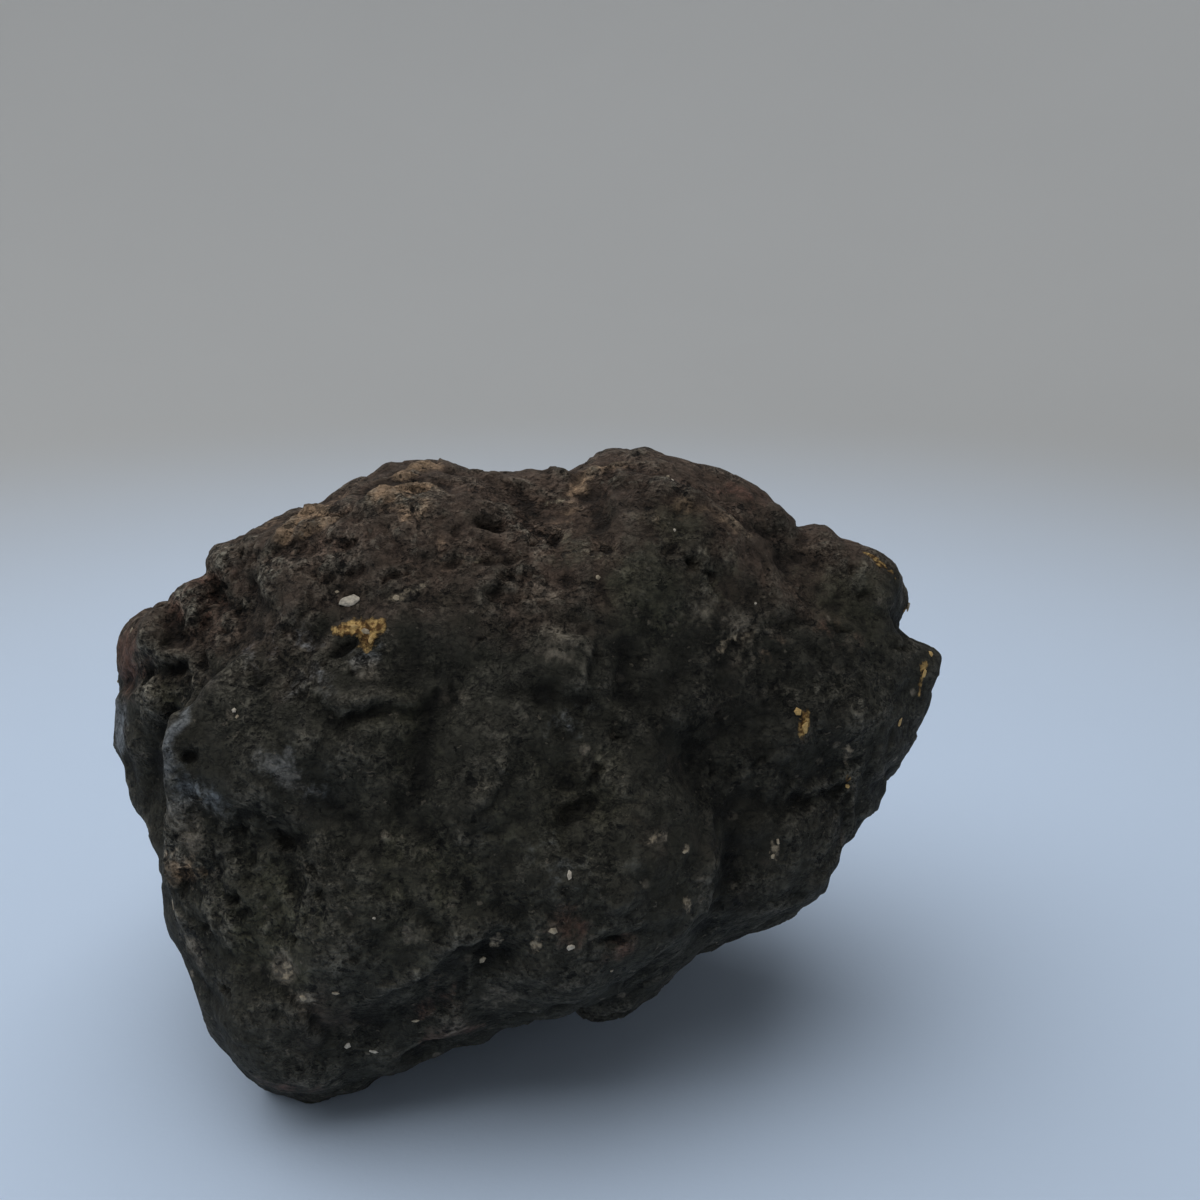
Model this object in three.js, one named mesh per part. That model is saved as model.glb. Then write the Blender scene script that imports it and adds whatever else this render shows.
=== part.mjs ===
// A whole geode: one unbroken nodule of dark, weathered volcanic rock, lying the way it rests by itself.
//
// Millimetres, +Z up, the front of the stone towards -Y. The origin is on the surface that the stone
// rests on, under the middle of its box.
//
// The stone is shaped in a frame of its own, in which a person looks straight at its front: X is to
// the right, Y is up the front and Z comes nearer. Every point of the skin lies on a ray from the
// stone's heart, so a form is a place on the body, a reach and a rise along the ray. When the shape
// is done the stone is leaned back to lie as it rests.

import * as THREE from "three";
import { ImprovedNoise } from "three/addons/math/ImprovedNoise.js";
import { mergeVertices } from "three/addons/utils/BufferGeometryUtils.js";

// Driving dimensions.
const FRONT_DEPTH = 23; // heart to the front, before the forms are added
const BACK_DEPTH = 46; // heart to the back
const RIGHT_THINNING = 0.44; // share by which the body is thinner at its right end than at its left
const FULLNESS = 2.35; // exponent of the rounded body: 2 is an ellipsoid, more is boxier
const LEAN_BACK = 23.65; // degrees by which the front faces upwards at rest
const HEART_HEIGHT = 34; // heart above the surface that the stone rests on
const SPHERE_DETAIL = 21; // splits along each edge of the icosahedron that the skin starts from

// How the outline carries on round the stone: broad waves run far to the front and back, fine ones
// stay close to the rim. Angles in degrees.
const BROAD_WINDOW = 15;
const MIDDLE_WINDOW = 4;
const MIDDLE_SPREAD = 30;
const FINE_SPREAD = 13;
const RIM_MARGIN = 0.8; // how far the skin stands outside the drawn outline
const RIM_WANDER = 40; // how far a wave of the outline may stray well off the rim

// Uneven skin all over. A knobbly layer has rounded lumps with creases between them.
const SKIN_LAYERS = [
  { wavelength: 30, height: 2.0, knobbly: false },
  { wavelength: 17, height: 3.0, knobbly: true },
  { wavelength: 8, height: 0.9, knobbly: false },
];

// The forms wander a little from their drawn places, so that none of them is regular.
const WANDER_WAVELENGTH = 14;
const WANDER = 3.0;

const COLOUR = 0x35302c;

// The rim of the stone as seen from the front, from the horn on the right over the top and round.
const OUTLINE = [
  [49.4, 14.4], [45.0, 17.0], [47.2, 22.4], [44.4, 26.4], [39.8, 28.2], [36.8, 29.0], [33.8, 28.4],
  [29.3, 34.2], [21.0, 38.4], [13.8, 39.0], [8.8, 39.4], [5.8, 37.6], [0.5, 35.4], [-5.5, 36.4],
  [-11.0, 38.0], [-16.0, 37.4], [-22.4, 34.5], [-27.4, 33.2], [-33.4, 30.6], [-38.5, 29.3],
  [-39.6, 24.8], [-44.4, 21.4], [-47.6, 18.5], [-47.6, 14.5], [-47.6, 11.4], [-47.4, 7.7],
  [-47.6, 3.8], [-46.8, 2.0], [-46.6, -1.8], [-44.6, -6.4], [-43.2, -10.8], [-43.0, -15.0],
  [-39.4, -19.0], [-37.0, -24.4], [-36.8, -26.8], [-34.0, -31.9], [-29.5, -35.0], [-25.0, -36.2],
  [-20.4, -35.0], [-15.6, -33.0], [-10.7, -30.9], [-5.4, -30.6], [1.0, -24.2], [7.8, -27.8],
  [14.8, -24.6], [21.0, -20.8], [25.0, -19.4], [29.3, -18.2], [35.2, -14.2], [37.3, -8.3],
  [40.8, -5.0], [42.6, -1.2], [45.8, 1.2], [47.2, 5.0], [48.8, 10.2],
];

// Rounded swells and hollows. "at" is right and up on the side named; a negative rise is a hollow.
const FRONT_FORMS = [
  { name: "belly", at: [-4, -8], reach: 34, rise: 2.8 },
  { name: "right crown", at: [18, 25], reach: 18, rise: 3.0 },
  { name: "saddle between the crowns", at: [2, 31], reach: 9, rise: -2.4 },
  { name: "left crown", at: [-16, 28], reach: 14, rise: 2.2 },
  { name: "left boss", at: [-26, 5], reach: 14, rise: 3.2 },
  { name: "hollow under the left boss", at: [-20, -3], reach: 8, rise: -2.4 },
  { name: "hollow low on the left", at: [-29, -8], reach: 7, rise: -1.8 },
  { name: "centre boss", at: [-4, 0], reach: 9, rise: 1.8 },
  { name: "upper knob", at: [4, 14], reach: 9, rise: 1.8 },
  { name: "hollow beside the upper knob", at: [13, 12], reach: 8, rise: -0.8 },
  { name: "right wing", at: [34, 10], reach: 13, rise: 1.6 },
  { name: "hollow under the wing", at: [36, -1], reach: 7, rise: -3.0 },
  { name: "lower wing", at: [33, -10], reach: 9, rise: 1.4 },
  { name: "lower boss", at: [9, -13], reach: 15, rise: 3.2 },
  { name: "dent above the lower boss", at: [5, -4], reach: 5.5, rise: -2.0 },
  { name: "foot", at: [-29, -27], reach: 12, rise: 1.6 },
  { name: "lower lip", at: [-9, -27], reach: 7, rise: 1.0 },
  { name: "right knob", at: [40, 23], reach: 8, rise: 2.2 },
];

// Ridges and valleys: a reach and a rise along a path of places on the front.
const FRONT_LINES = [
  { name: "left valley", path: [[-34, 20], [-39, 11], [-43, 4], [-45, -1]], reach: 7.5, rise: -4.4 },
  { name: "fin beside the valley", path: [[-33, 14], [-37, 6], [-39, -4]], reach: 6, rise: 1.6 },
  { name: "middle valley", path: [[-11, 9], [-13, 2], [-10, -5]], reach: 8, rise: -1.8 },
  { name: "long ridge", path: [[12, 3], [15, -3], [17, -10], [15, -17]], reach: 7, rise: 1.0 },
  { name: "right valley", path: [[20, 0], [23, -5], [24, -10], [22, -17]], reach: 7, rise: -1.4 },
  { name: "fold over the lip", path: [[-21, -27], [-14, -25], [-9, -21], [-4, -18]], reach: 5.5, rise: -2.6 },
  { name: "crease round the right knob", path: [[33, 27], [36, 22], [44, 18]], reach: 5.5, rise: -2.8 },
];

const BACK_FORMS = [
  { name: "heel of the front foot", at: [-18, -34], reach: 9, rise: 3.0 },
  { name: "left rear foot", at: [-22, -18], reach: 14, rise: 2.0 },
  { name: "right rear foot", at: [18, -15], reach: 18, rise: 6.0 },
  { name: "hollow underneath", at: [-24, -32], reach: 15, rise: -10.0 },
  { name: "back shoulder", at: [-22, 14], reach: 22, rise: 4.6 },
  { name: "back boss", at: [16, 6], reach: 16, rise: 3.0 },
  { name: "back hollow", at: [-2, 4], reach: 10, rise: -2.6 },
  { name: "back knob", at: [33, 20], reach: 10, rise: 2.6 },
  { name: "dent by the back knob", at: [20, 24], reach: 8, rise: -2.4 },
  { name: "left back knob", at: [-39, 4], reach: 9, rise: 2.2 },
  { name: "low back knob", at: [30, -8], reach: 9, rise: 2.0 },
];

const BACK_LINES = [
  { name: "back valley", path: [[-10, 32], [-6, 20], [4, 12], [6, 0], [0, -12]], reach: 8, rise: -3.2 },
  { name: "back ridge", path: [[-38, 20], [-26, 6], [-28, -8]], reach: 7, rise: 2.2 },
  { name: "side valley", path: [[44, 12], [34, 6], [28, -4], [30, -16]], reach: 6.5, rise: -2.6 },
];

const noise = new ImprovedNoise();

// Radius of a closed spline through the outline, at every whole degree.
function radiusByDegree(points) {
  const rim = new THREE.CatmullRomCurve3(points.map(([x, y]) => new THREE.Vector3(x, y, 0)), true);
  const samples = rim.getPoints(points.length * 40);
  return Array.from({ length: 360 }, (_, degree) => {
    const angle = THREE.MathUtils.degToRad(degree);
    const along = new THREE.Vector3(Math.cos(angle), Math.sin(angle), 0);
    const onRim = samples.reduce((best, p) => (p.angleTo(along) < best.angleTo(along) ? p : best));
    return onRim.length() + RIM_MARGIN;
  });
}

// The same radii, averaged over a bell-shaped window of so many degrees.
function averaged(radii, window) {
  const reach = Math.ceil(3 * window);
  return radii.map((_, degree) => {
    let sum = 0;
    let weight = 0;
    for (let step = -reach; step <= reach; step++) {
      const share = Math.exp(-((step / window) ** 2) / 2);
      sum += share * radii[(degree + step + 360) % 360];
      weight += share;
    }
    return sum / weight;
  });
}

const FULL_RIM = radiusByDegree(OUTLINE);
const MIDDLE_RIM = averaged(FULL_RIM, MIDDLE_WINDOW);
const BROAD_RIM = averaged(FULL_RIM, BROAD_WINDOW);

function between(radii, degree) {
  const whole = Math.floor(degree);
  return THREE.MathUtils.lerp(radii[(whole + 720) % 360], radii[(whole + 721) % 360], degree - whole);
}

// Rim radius at an angle round the outline, for a point so many degrees off the rim.
function rimRadius(degree, offRim) {
  const broad = between(BROAD_RIM, degree);
  const middle = between(MIDDLE_RIM, degree);
  const full = between(FULL_RIM, degree);
  return broad
    + (middle - broad) * Math.exp(-((offRim / MIDDLE_SPREAD) ** 2))
    + (full - middle) * Math.exp(-((offRim / FINE_SPREAD) ** 2));
}

// How deep the body is on the front (side above 0) or the back, where it is thinner to the right.
function depthOf(side, right) {
  const depth = side > 0 ? FRONT_DEPTH : BACK_DEPTH;
  return depth * (1 - (RIGHT_THINNING / 2) * THREE.MathUtils.clamp(right / 50, -1, 1));
}

// The rounded body without its forms, along a direction from the heart.
function bodyPoint(direction) {
  const outwards = Math.hypot(direction.x, direction.y);
  const offRim = THREE.MathUtils.radToDeg(Math.atan2(Math.abs(direction.z), outwards));
  const strayed = RIM_WANDER * THREE.MathUtils.smoothstep(offRim, 10, 55) * noiseAt(direction, 0.5, 5.7);
  const rim = rimRadius(THREE.MathUtils.radToDeg(Math.atan2(direction.y, direction.x)) + strayed, offRim);
  const depth = depthOf(direction.z, direction.x * rim);
  const size = (outwards / rim) ** FULLNESS + (Math.abs(direction.z) / depth) ** FULLNESS;
  return direction.clone().multiplyScalar(size ** (-1 / FULLNESS));
}

// The place on the body's front (side 1) or back (side -1) at that right and up.
function placeOn(side, [right, up]) {
  const rim = between(BROAD_RIM, THREE.MathUtils.radToDeg(Math.atan2(up, right)));
  const share = Math.min(Math.hypot(right, up) / rim, 1) ** FULLNESS;
  return new THREE.Vector3(right, up, side * depthOf(side, right) * (1 - share) ** (1 / FULLNESS));
}

function located(side, forms, lines) {
  return [
    ...forms.map((form) => ({ ...form, places: [placeOn(side, form.at)] })),
    ...lines.map((line) => ({ ...line, places: line.path.map((at) => placeOn(side, at)) })),
  ];
}

const FORMS = [...located(1, FRONT_FORMS, FRONT_LINES), ...located(-1, BACK_FORMS, BACK_LINES)];

function distanceTo(places, point) {
  if (places.length === 1) return point.distanceTo(places[0]);
  const closest = new THREE.Vector3();
  return Math.min(...places.slice(1).map((end, i) => {
    new THREE.Line3(places[i], end).closestPointToPoint(point, true, closest);
    return closest.distanceTo(point);
  }));
}

// A smooth bell: 1 in the middle, 0 from the reach outwards.
function bell(share) {
  return share < 1 ? (1 - share * share) ** 2 : 0;
}

function noiseAt(point, wavelength, seed) {
  const at = point.clone().divideScalar(wavelength).addScalar(seed);
  return noise.noise(at.x, at.y, at.z);
}

function wandered(point) {
  const steps = [11.3, 47.9, 83.1].map((seed) => noiseAt(point, WANDER_WAVELENGTH, seed));
  return new THREE.Vector3(...steps).multiplyScalar(WANDER).add(point);
}

function riseOfForms(point) {
  const riseOf = ({ places, reach, rise }) => rise * bell(distanceTo(places, point) / reach);
  return FORMS.reduce((sum, form) => sum + riseOf(form), 0);
}

function riseOfSkin(point) {
  return SKIN_LAYERS.reduce((sum, { wavelength, height, knobbly }, i) => {
    const wave = noiseAt(point, wavelength, 7.3 * (i + 1));
    return sum + height * (knobbly ? Math.abs(wave) - 0.25 : wave);
  }, 0);
}

// The stone's skin as one closed mesh round its heart, leaned back to how it rests.
function skin() {
  const sphere = new THREE.IcosahedronGeometry(1, SPHERE_DETAIL);
  sphere.deleteAttribute("normal");
  sphere.deleteAttribute("uv");
  const geometry = mergeVertices(sphere, 1e-5);
  const position = geometry.getAttribute("position");
  const direction = new THREE.Vector3();
  for (let i = 0; i < position.count; i++) {
    direction.fromBufferAttribute(position, i).normalize();
    const body = bodyPoint(direction);
    const radius = body.length() + riseOfForms(wandered(body)) + riseOfSkin(body);
    position.setXYZ(i, direction.x * radius, direction.y * radius, direction.z * radius);
  }
  return geometry.rotateX(THREE.MathUtils.degToRad(90 - LEAN_BACK));
}

// Wears the stone flat where it bears on the surface: what lies below is drawn back towards the heart.
function wornFlat(geometry) {
  const position = geometry.getAttribute("position");
  const point = new THREE.Vector3();
  for (let i = 0; i < position.count; i++) {
    point.fromBufferAttribute(position, i);
    if (point.z < -HEART_HEIGHT) {
      point.multiplyScalar(-HEART_HEIGHT / point.z);
      position.setXYZ(i, point.x, point.y, -HEART_HEIGHT);
    }
  }
  return geometry;
}

// Puts the origin under the middle of the box, on the resting surface.
function centred(geometry) {
  geometry.computeBoundingBox();
  const middle = geometry.boundingBox.getCenter(new THREE.Vector3());
  return geometry.translate(-middle.x, -middle.y, HEART_HEIGHT);
}

const geometry = centred(wornFlat(skin()));
geometry.computeVertexNormals();

const material = new THREE.MeshStandardMaterial({ color: COLOUR, roughness: 0.92, metalness: 0 });
const geode = new THREE.Mesh(geometry, material);
geode.name = "geode";

const whole = new THREE.Group();
whole.add(geode);

export default whole;
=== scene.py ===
"""A whole geode: a dark, knobbly stone with its rind unbroken, resting on pale paper."""

import math
import random
from types import SimpleNamespace

import bmesh
import bpy
import numpy as np
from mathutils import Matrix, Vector, noise
from mathutils.bvhtree import BVHTree
from mathutils.kdtree import KDTree


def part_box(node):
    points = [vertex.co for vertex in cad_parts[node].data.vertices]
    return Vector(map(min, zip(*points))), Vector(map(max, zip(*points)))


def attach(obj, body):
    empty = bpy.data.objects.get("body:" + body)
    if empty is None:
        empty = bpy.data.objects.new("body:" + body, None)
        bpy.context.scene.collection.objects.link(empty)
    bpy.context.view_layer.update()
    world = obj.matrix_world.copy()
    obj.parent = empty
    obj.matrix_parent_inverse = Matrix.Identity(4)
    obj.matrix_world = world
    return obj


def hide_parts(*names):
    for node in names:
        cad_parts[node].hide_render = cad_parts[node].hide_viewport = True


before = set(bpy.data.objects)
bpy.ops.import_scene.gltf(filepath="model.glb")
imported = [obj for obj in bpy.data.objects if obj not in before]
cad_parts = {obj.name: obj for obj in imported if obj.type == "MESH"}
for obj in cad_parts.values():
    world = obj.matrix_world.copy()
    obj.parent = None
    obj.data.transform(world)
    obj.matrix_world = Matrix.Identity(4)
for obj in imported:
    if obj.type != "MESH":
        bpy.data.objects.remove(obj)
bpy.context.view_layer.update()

bl_info = {
    "name": "Whole geode",
    "version": (1, 0, 0),
    "blender": (4, 5, 0),
    "location": "3D View > Sidebar > Geode",
    "description": "Sculpts an unopened geode, its mineral grains and the paper it rests on",
    "category": "Add Mesh",
}

MM = 0.001
NODE = "geode"
MOST_TRIANGLES = 200_000

# The stone's heart, measured from the lowest corner of its box, and the way its front faces:
# the front leans back, so places on it are told as right, up along it and out of it, in millimetres.
HEART = np.array(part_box(NODE)[0]) + np.array((50.55, 29.12, 34.0)) * MM
LEAN = math.radians(23.65)
FRONT_AXES = np.array(
    (
        (1.0, 0.0, 0.0),
        (0.0, math.sin(LEAN), math.cos(LEAN)),
        (0.0, -math.cos(LEAN), math.sin(LEAN)),
    )
)

# The camera stands straight out from the front, this far from the heart, and looks over the stone.
CAMERA_DISTANCE = 185.5 * MM
CAMERA_DOWN = math.radians(17.0)
CAMERA_ASIDE = math.radians(-2.9)


# ---------------------------------------------------------------- forms on the front of the stone

# Lines worked into the front: kind, reach to each side, height, and the places they pass.
# A ledge is raised on the left of the way it runs and sunk on the right.
FRONT_LINES = (
    # brow left of the middle, with the crease under it
    ("ledge", 2.6, 1.2, (
        (-23.4, 9.0), (-21.4, 7.4), (-19.0, 7.0), (-17.0, 7.8), (-14.6, 7.9), (-12.0, 8.8), (-8.5, 9.8),
    )),
    ("groove", 1.3, 1.1, ((-23.0, 8.0), (-21.2, 6.8), (-19.0, 6.5), (-17.0, 7.3), (-15.4, 7.4))),
    # long fold that parts the body from the lower lip
    ("ledge", 2.4, 1.2, (
        (-18.3, -23.7), (-14.1, -21.9), (-10.3, -19.9), (-6.6, -17.1), (-3.6, -16.2), (-1.2, -16.6),
    )),
    ("groove", 1.4, 1.2, (
        (-16.5, -24.0), (-13.4, -22.8), (-10.5, -21.4), (-7.9, -19.6), (-6.0, -18.2), (-2.6, -17.4),
    )),
    # second fold, further right
    ("ledge", 1.8, 0.8, ((6.0, -17.4), (8.8, -16.9), (13.2, -16.9), (18.2, -14.3))),
    ("groove", 1.3, 1.2, ((7.1, -17.7), (11.5, -16.9), (15.8, -16.0))),
    # lip of the body over the valley on the right
    ("ledge", 2.2, 0.8, ((17.0, -16.0), (19.9, -14.6), (19.7, -10.7), (19.9, -6.5), (19.5, -2.0))),
    ("groove", 2.6, 0.8, ((21.2, -2.4), (22.4, -6.5), (22.6, -10.5), (21.4, -14.6))),
    # undercut between the wing and the low right
    ("ledge", 2.2, 1.0, ((27.2, -1.4), (31.6, -2.5), (34.8, -2.0), (37.7, 0.5))),
    ("groove", 1.6, 1.0, ((26.0, -3.5), (31.5, -3.3), (35.9, -2.4))),
    # crease round the right knob
    ("ledge", 2.2, 0.9, (
        (46.4, 16.6), (42.1, 17.4), (37.6, 17.7), (35.2, 19.6), (34.1, 22.6), (33.4, 25.4),
    )),
    ("groove", 1.1, 1.0, (
        (43.3, 16.2), (39.7, 16.8), (36.9, 17.3), (34.6, 19.2), (33.4, 22.2), (32.4, 24.6),
    )),
    # boss in the middle and the gash under it
    ("ledge", 1.7, 0.9, ((-6.9, -3.9), (-4.2, -2.9), (-2.6, -1.3), (-1.8, 1.5), (-2.4, 4.4))),
    ("groove", 0.9, 1.8, ((-5.5, -5.9), (-4.1, -5.8), (-2.4, -5.1), (-0.4, -4.3))),
    ("groove", 1.4, 1.3, ((2.0, -5.8), (3.4, -4.5), (5.3, -3.2), (7.4, -2.7))),
    # step beside the upper middle
    ("ledge", 2.7, 1.2, ((6.2, 9.3), (6.7, 12.8), (5.3, 14.9), (2.5, 15.9))),
    ("groove", 3.0, 1.2, ((-10.6, 8.3), (-11.7, 3.0), (-12.3, -1.3), (-11.5, -4.4), (-11.3, -7.6))),
    ("groove", 1.6, 0.9, ((-14.8, -0.6), (-13.3, -3.5), (-14.0, -7.0))),
    ("groove", 1.6, 0.5, ((13.6, 6.1), (15.7, 3.4), (18.1, 2.7))),
    # crack on the left
    ("groove", 1.2, 1.0, ((-31.3, -1.5), (-28.9, -3.5), (-27.2, -5.2), (-24.2, -6.9))),
    # terraces of the right crown
    ("ledge", 3.2, 0.9, (
        (32.6, 24.6), (30.3, 26.2), (25.3, 27.2), (22.7, 30.7), (17.9, 33.4), (13.4, 34.7),
    )),
    ("groove", 1.5, 0.9, ((2.9, 33.2), (8.5, 31.9), (13.2, 32.7))),
    # plate at the right edge
    ("ledge", 1.6, 0.9, ((43.4, -2.9), (41.0, 0.6), (41.5, 3.9), (44.6, 6.5))),
    # sandy terraces of the upper left, each with its upper edge standing proud
    ("ledge", 2.0, 1.4, ((-20.6, 31.2), (-24.1, 31.2), (-26.0, 30.2), (-27.3, 28.4), (-29.3, 27.0))),
    ("ledge", 1.8, 1.3, ((-19.6, 29.6), (-21.5, 29.5), (-23.5, 28.7), (-25.6, 27.9))),
    ("ledge", 2.2, 1.7, (
        (-8.4, 31.6), (-10.8, 33.4), (-13.3, 33.5), (-16.0, 33.0), (-17.9, 32.1), (-18.9, 30.8),
    )),
    ("ledge", 2.0, 1.2, ((-9.4, 36.9), (-12.2, 37.4), (-13.9, 36.6), (-15.5, 34.5))),
    ("groove", 1.2, 1.1, ((-19.6, 32.6), (-22.6, 32.6), (-25.6, 32.2), (-28.3, 30.6))),
    ("groove", 1.2, 1.3, ((-8.6, 33.6), (-10.8, 34.9), (-13.6, 34.9), (-16.6, 34.2), (-19.0, 32.6))),
    ("groove", 1.0, 1.1, ((-26.4, 29.6), (-23.6, 30.4), (-20.6, 30.8))),
    ("groove", 1.4, 1.2, ((-16.6, 29.6), (-13.6, 30.2), (-10.4, 29.6))),
    ("groove", 1.8, 1.2, ((-28.6, 24.6), (-24.4, 25.4), (-20.6, 26.0), (-17.4, 28.0))),
    ("ledge", 2.2, 1.1, ((13.6, 36.7), (10.4, 37.0), (7.8, 35.7), (5.8, 34.0), (3.5, 32.3))),
    # long soft step down the middle
    ("ledge", 3.4, 0.5, ((15.6, 1.5), (13.8, 4.0), (11.0, 6.6), (9.2, 9.0), (8.6, 12.0), (8.2, 14.4))),
    ("groove", 2.6, 0.6, ((-1.2, 8.9), (3.6, 8.3), (8.0, 7.8))),
    # creases between the left knobs
    ("groove", 2.3, 1.2, ((-36.4, 24.0), (-36.3, 22.7), (-35.8, 20.4), (-36.4, 17.8), (-37.5, 15.1))),
    ("groove", 2.2, 1.2, ((-41.0, 20.9), (-40.8, 18.0), (-38.1, 15.8))),
    ("groove", 2.0, 1.6, ((-40.6, 26.0), (-37.6, 23.5), (-36.0, 22.1), (-33.9, 20.8))),
    ("groove", 2.0, 1.6, ((-45.4, 22.8), (-41.9, 20.2), (-39.8, 18.8), (-37.9, 17.5))),
    ("groove", 2.0, 1.0, ((-47.3, 10.6), (-42.9, 11.6), (-39.4, 12.4), (-38.0, 13.8))),
    ("groove", 2.4, 1.8, (
        (-51.5, 11.4), (-49.4, 11.7), (-47.1, 12.0), (-45.9, 12.4), (-43.7, 13.1), (-41.7, 13.4),
    )),
    # valley behind the fin, and the fin's edge
    ("groove", 3.4, 1.2, ((-35.3, 15.9), (-38.2, 10.3), (-42.3, 5.4), (-43.7, 1.1), (-43.4, -3.1))),
    ("ridge", 2.0, 1.5, ((-35.2, 13.3), (-37.8, 8.9), (-37.5, 4.2), (-38.5, -0.7), (-38.6, -4.5))),
    # short upright wrinkles low on the left
    ("groove", 1.1, 0.8, ((-36.1, -6.9), (-35.7, -9.9), (-36.1, -12.7))),
    ("groove", 1.1, 0.8, ((-34.3, -9.1), (-33.4, -11.8), (-33.8, -15.0))),
    ("groove", 1.1, 0.7, ((-31.6, -10.9), (-31.0, -13.9), (-31.7, -17.0))),
    # foot and the hollow under the lip
    ("ledge", 2.4, 1.1, ((-22.0, -28.8), (-24.6, -24.9), (-28.1, -21.9))),
    ("groove", 2.0, 1.0, ((-15.5, -31.5), (-11.6, -29.8), (-6.9, -30.2))),
    ("groove", 1.6, 1.0, ((-38.1, -20.6), (-36.1, -22.9), (-34.0, -24.7))),
    # notches in the right edge
    ("groove", 2.2, 1.1, ((46.5, -2.6), (44.0, -1.9), (42.0, -1.4), (40.6, -1.2))),
    ("groove", 2.0, 0.9, ((44.4, -7.4), (41.9, -6.6), (39.7, -6.2))),
    # underside edge of the wing
    ("ridge", 1.6, 0.8, ((26.3, -15.7), (31.2, -14.3), (33.6, -12.5), (36.5, -10.0))),
    # creases on top of the wing
    ("groove", 1.3, 0.8, ((22.6, 14.4), (26.4, 16.0), (30.1, 16.5), (33.3, 18.7))),
    ("groove", 1.2, 0.8, ((31.4, 14.4), (33.3, 12.5), (35.5, 11.4))),
)

# Hollows in the front: place, half width, half height, turn in degrees, depth. A negative depth
# makes a swelling.
FRONT_HOLLOWS = (
    (-39.0, 16.2, 4.2, 3.4, 20, 1.0),  # left hollow
    (-35.9, 21.7, 3.6, 2.6, -30, 0.7),  # reddish hollow
    (13.6, 11.4, 3.4, 4.0, -20, -0.8),  # gentle slope down from the upper step
    (25.5, -3.6, 5.0, 3.2, -10, 0.9),  # darkest hollow
    (22.6, -10.4, 2.8, 5.6, 0, 0.5),  # valley right of the lip
    (-1.6, -20.6, 6.4, 3.0, 16, -1.2),  # fuller below the fold
    (12.6, -25.2, 6.5, 3.4, 28, 0.5),  # under the right end of the lip
    (17.2, -24.6, 3.6, 3.0, 40, 1.2),
    (-19.0, 36.4, 4.2, 2.4, 25, 0.8),
    (-33.0, 31.0, 6.0, 2.4, 35, -0.6),
    (28.6, -17.6, 2.6, 2.0, 0, 1.0),
    (30.8, 28.0, 3.4, 4.4, 20, -1.6),
    (-39.4, -9.6, 2.4, 2.4, 0, -1.2),
    (-12.6, -31.2, 3.0, 2.6, 0, 1.6),  # notch between the foot and the lip
    (-6.7, -30.0, 3.4, 2.6, 0, -0.8),  # fullest place of the lip
    (-1.3, -26.4, 2.4, 2.0, 0, 1.0),
    (2.7, -25.8, 2.6, 2.0, 0, 0.8),  # arch in the lower edge
    (10.0, -28.6, 5.6, 3.4, 0, 2.2),
    (9.0, -26.4, 4.6, 2.2, 10, -1.0),
    (9.3, -13.2, 3.0, 2.2, 0, -1.1),
    (-46.4, 1.6, 1.6, 3.4, 0, 0.7),
)

# Pits and dents in the front, told as the hollows are.
FRONT_PITS = (
    (-36.4, 2.7, 0.8, 0.7, 0, 1.0),  # eye in the fin
    (-4.0, 28.6, 2.0, 0.9, -12, 1.3),  # pit on the crest
    (3.4, 26.9, 1.7, 0.9, 40, 0.8),
    (-1.5, 24.0, 1.8, 0.8, 10, 0.7),
    (18.9, 23.5, 0.8, 1.2, 0, 1.2),
    (20.6, 21.8, 1.1, 0.6, -20, 0.8),
    (4.9, -3.5, 3.2, 1.1, 24, 0.35),  # dent under the middle
    (7.3, 0.4, 1.2, 0.6, 45, 0.9),
    (-26.2, -6.4, 1.8, 0.8, -35, 0.9),
    (-25.7, -11.6, 1.6, 1.2, 0, 0.6),
    (-22.5, -11.9, 1.2, 0.9, 0, 0.6),
    (9.6, 4.2, 1.3, 0.6, 5, 0.7),
    (-19.7, 14.2, 1.7, 0.8, 12, 1.1),  # notch under the ochre crust
    (-39.6, 13.1, 1.5, 0.8, 25, 1.0),
    (-34.7, 16.9, 0.9, 0.6, 0, 0.8),
    (-28.7, 10.6, 0.8, 0.5, 10, 0.6),
    (-25.9, 10.4, 0.8, 0.5, -10, 0.6),
    (-22.1, 12.3, 0.8, 0.5, 15, 0.5),
    (-34.5, 22.3, 1.0, 0.6, 10, 0.8),
    (-32.4, 24.6, 1.1, 0.6, 20, 0.7),
    (-37.5, 25.1, 1.0, 0.7, 0, 0.7),
    (-19.0, 22.1, 1.1, 0.5, 15, 0.7),
    (-15.8, 21.9, 1.2, 0.5, 30, 0.7),
    (-1.2, 19.0, 0.9, 0.5, 0, 0.5),
    (-1.6, 16.4, 0.9, 0.5, 10, 0.5),
    (-5.2, 15.1, 1.2, 0.5, 0, 0.5),
    (-31.4, -14.3, 0.9, 0.7, 0, 0.6),
    (-35.7, -15.5, 0.9, 0.6, 0, 0.6),
    (-33.6, -22.6, 1.2, 0.6, -20, 0.8),
    (-3.6, 38.4, 1.8, 1.2, 0, 0.6),
)

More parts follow.
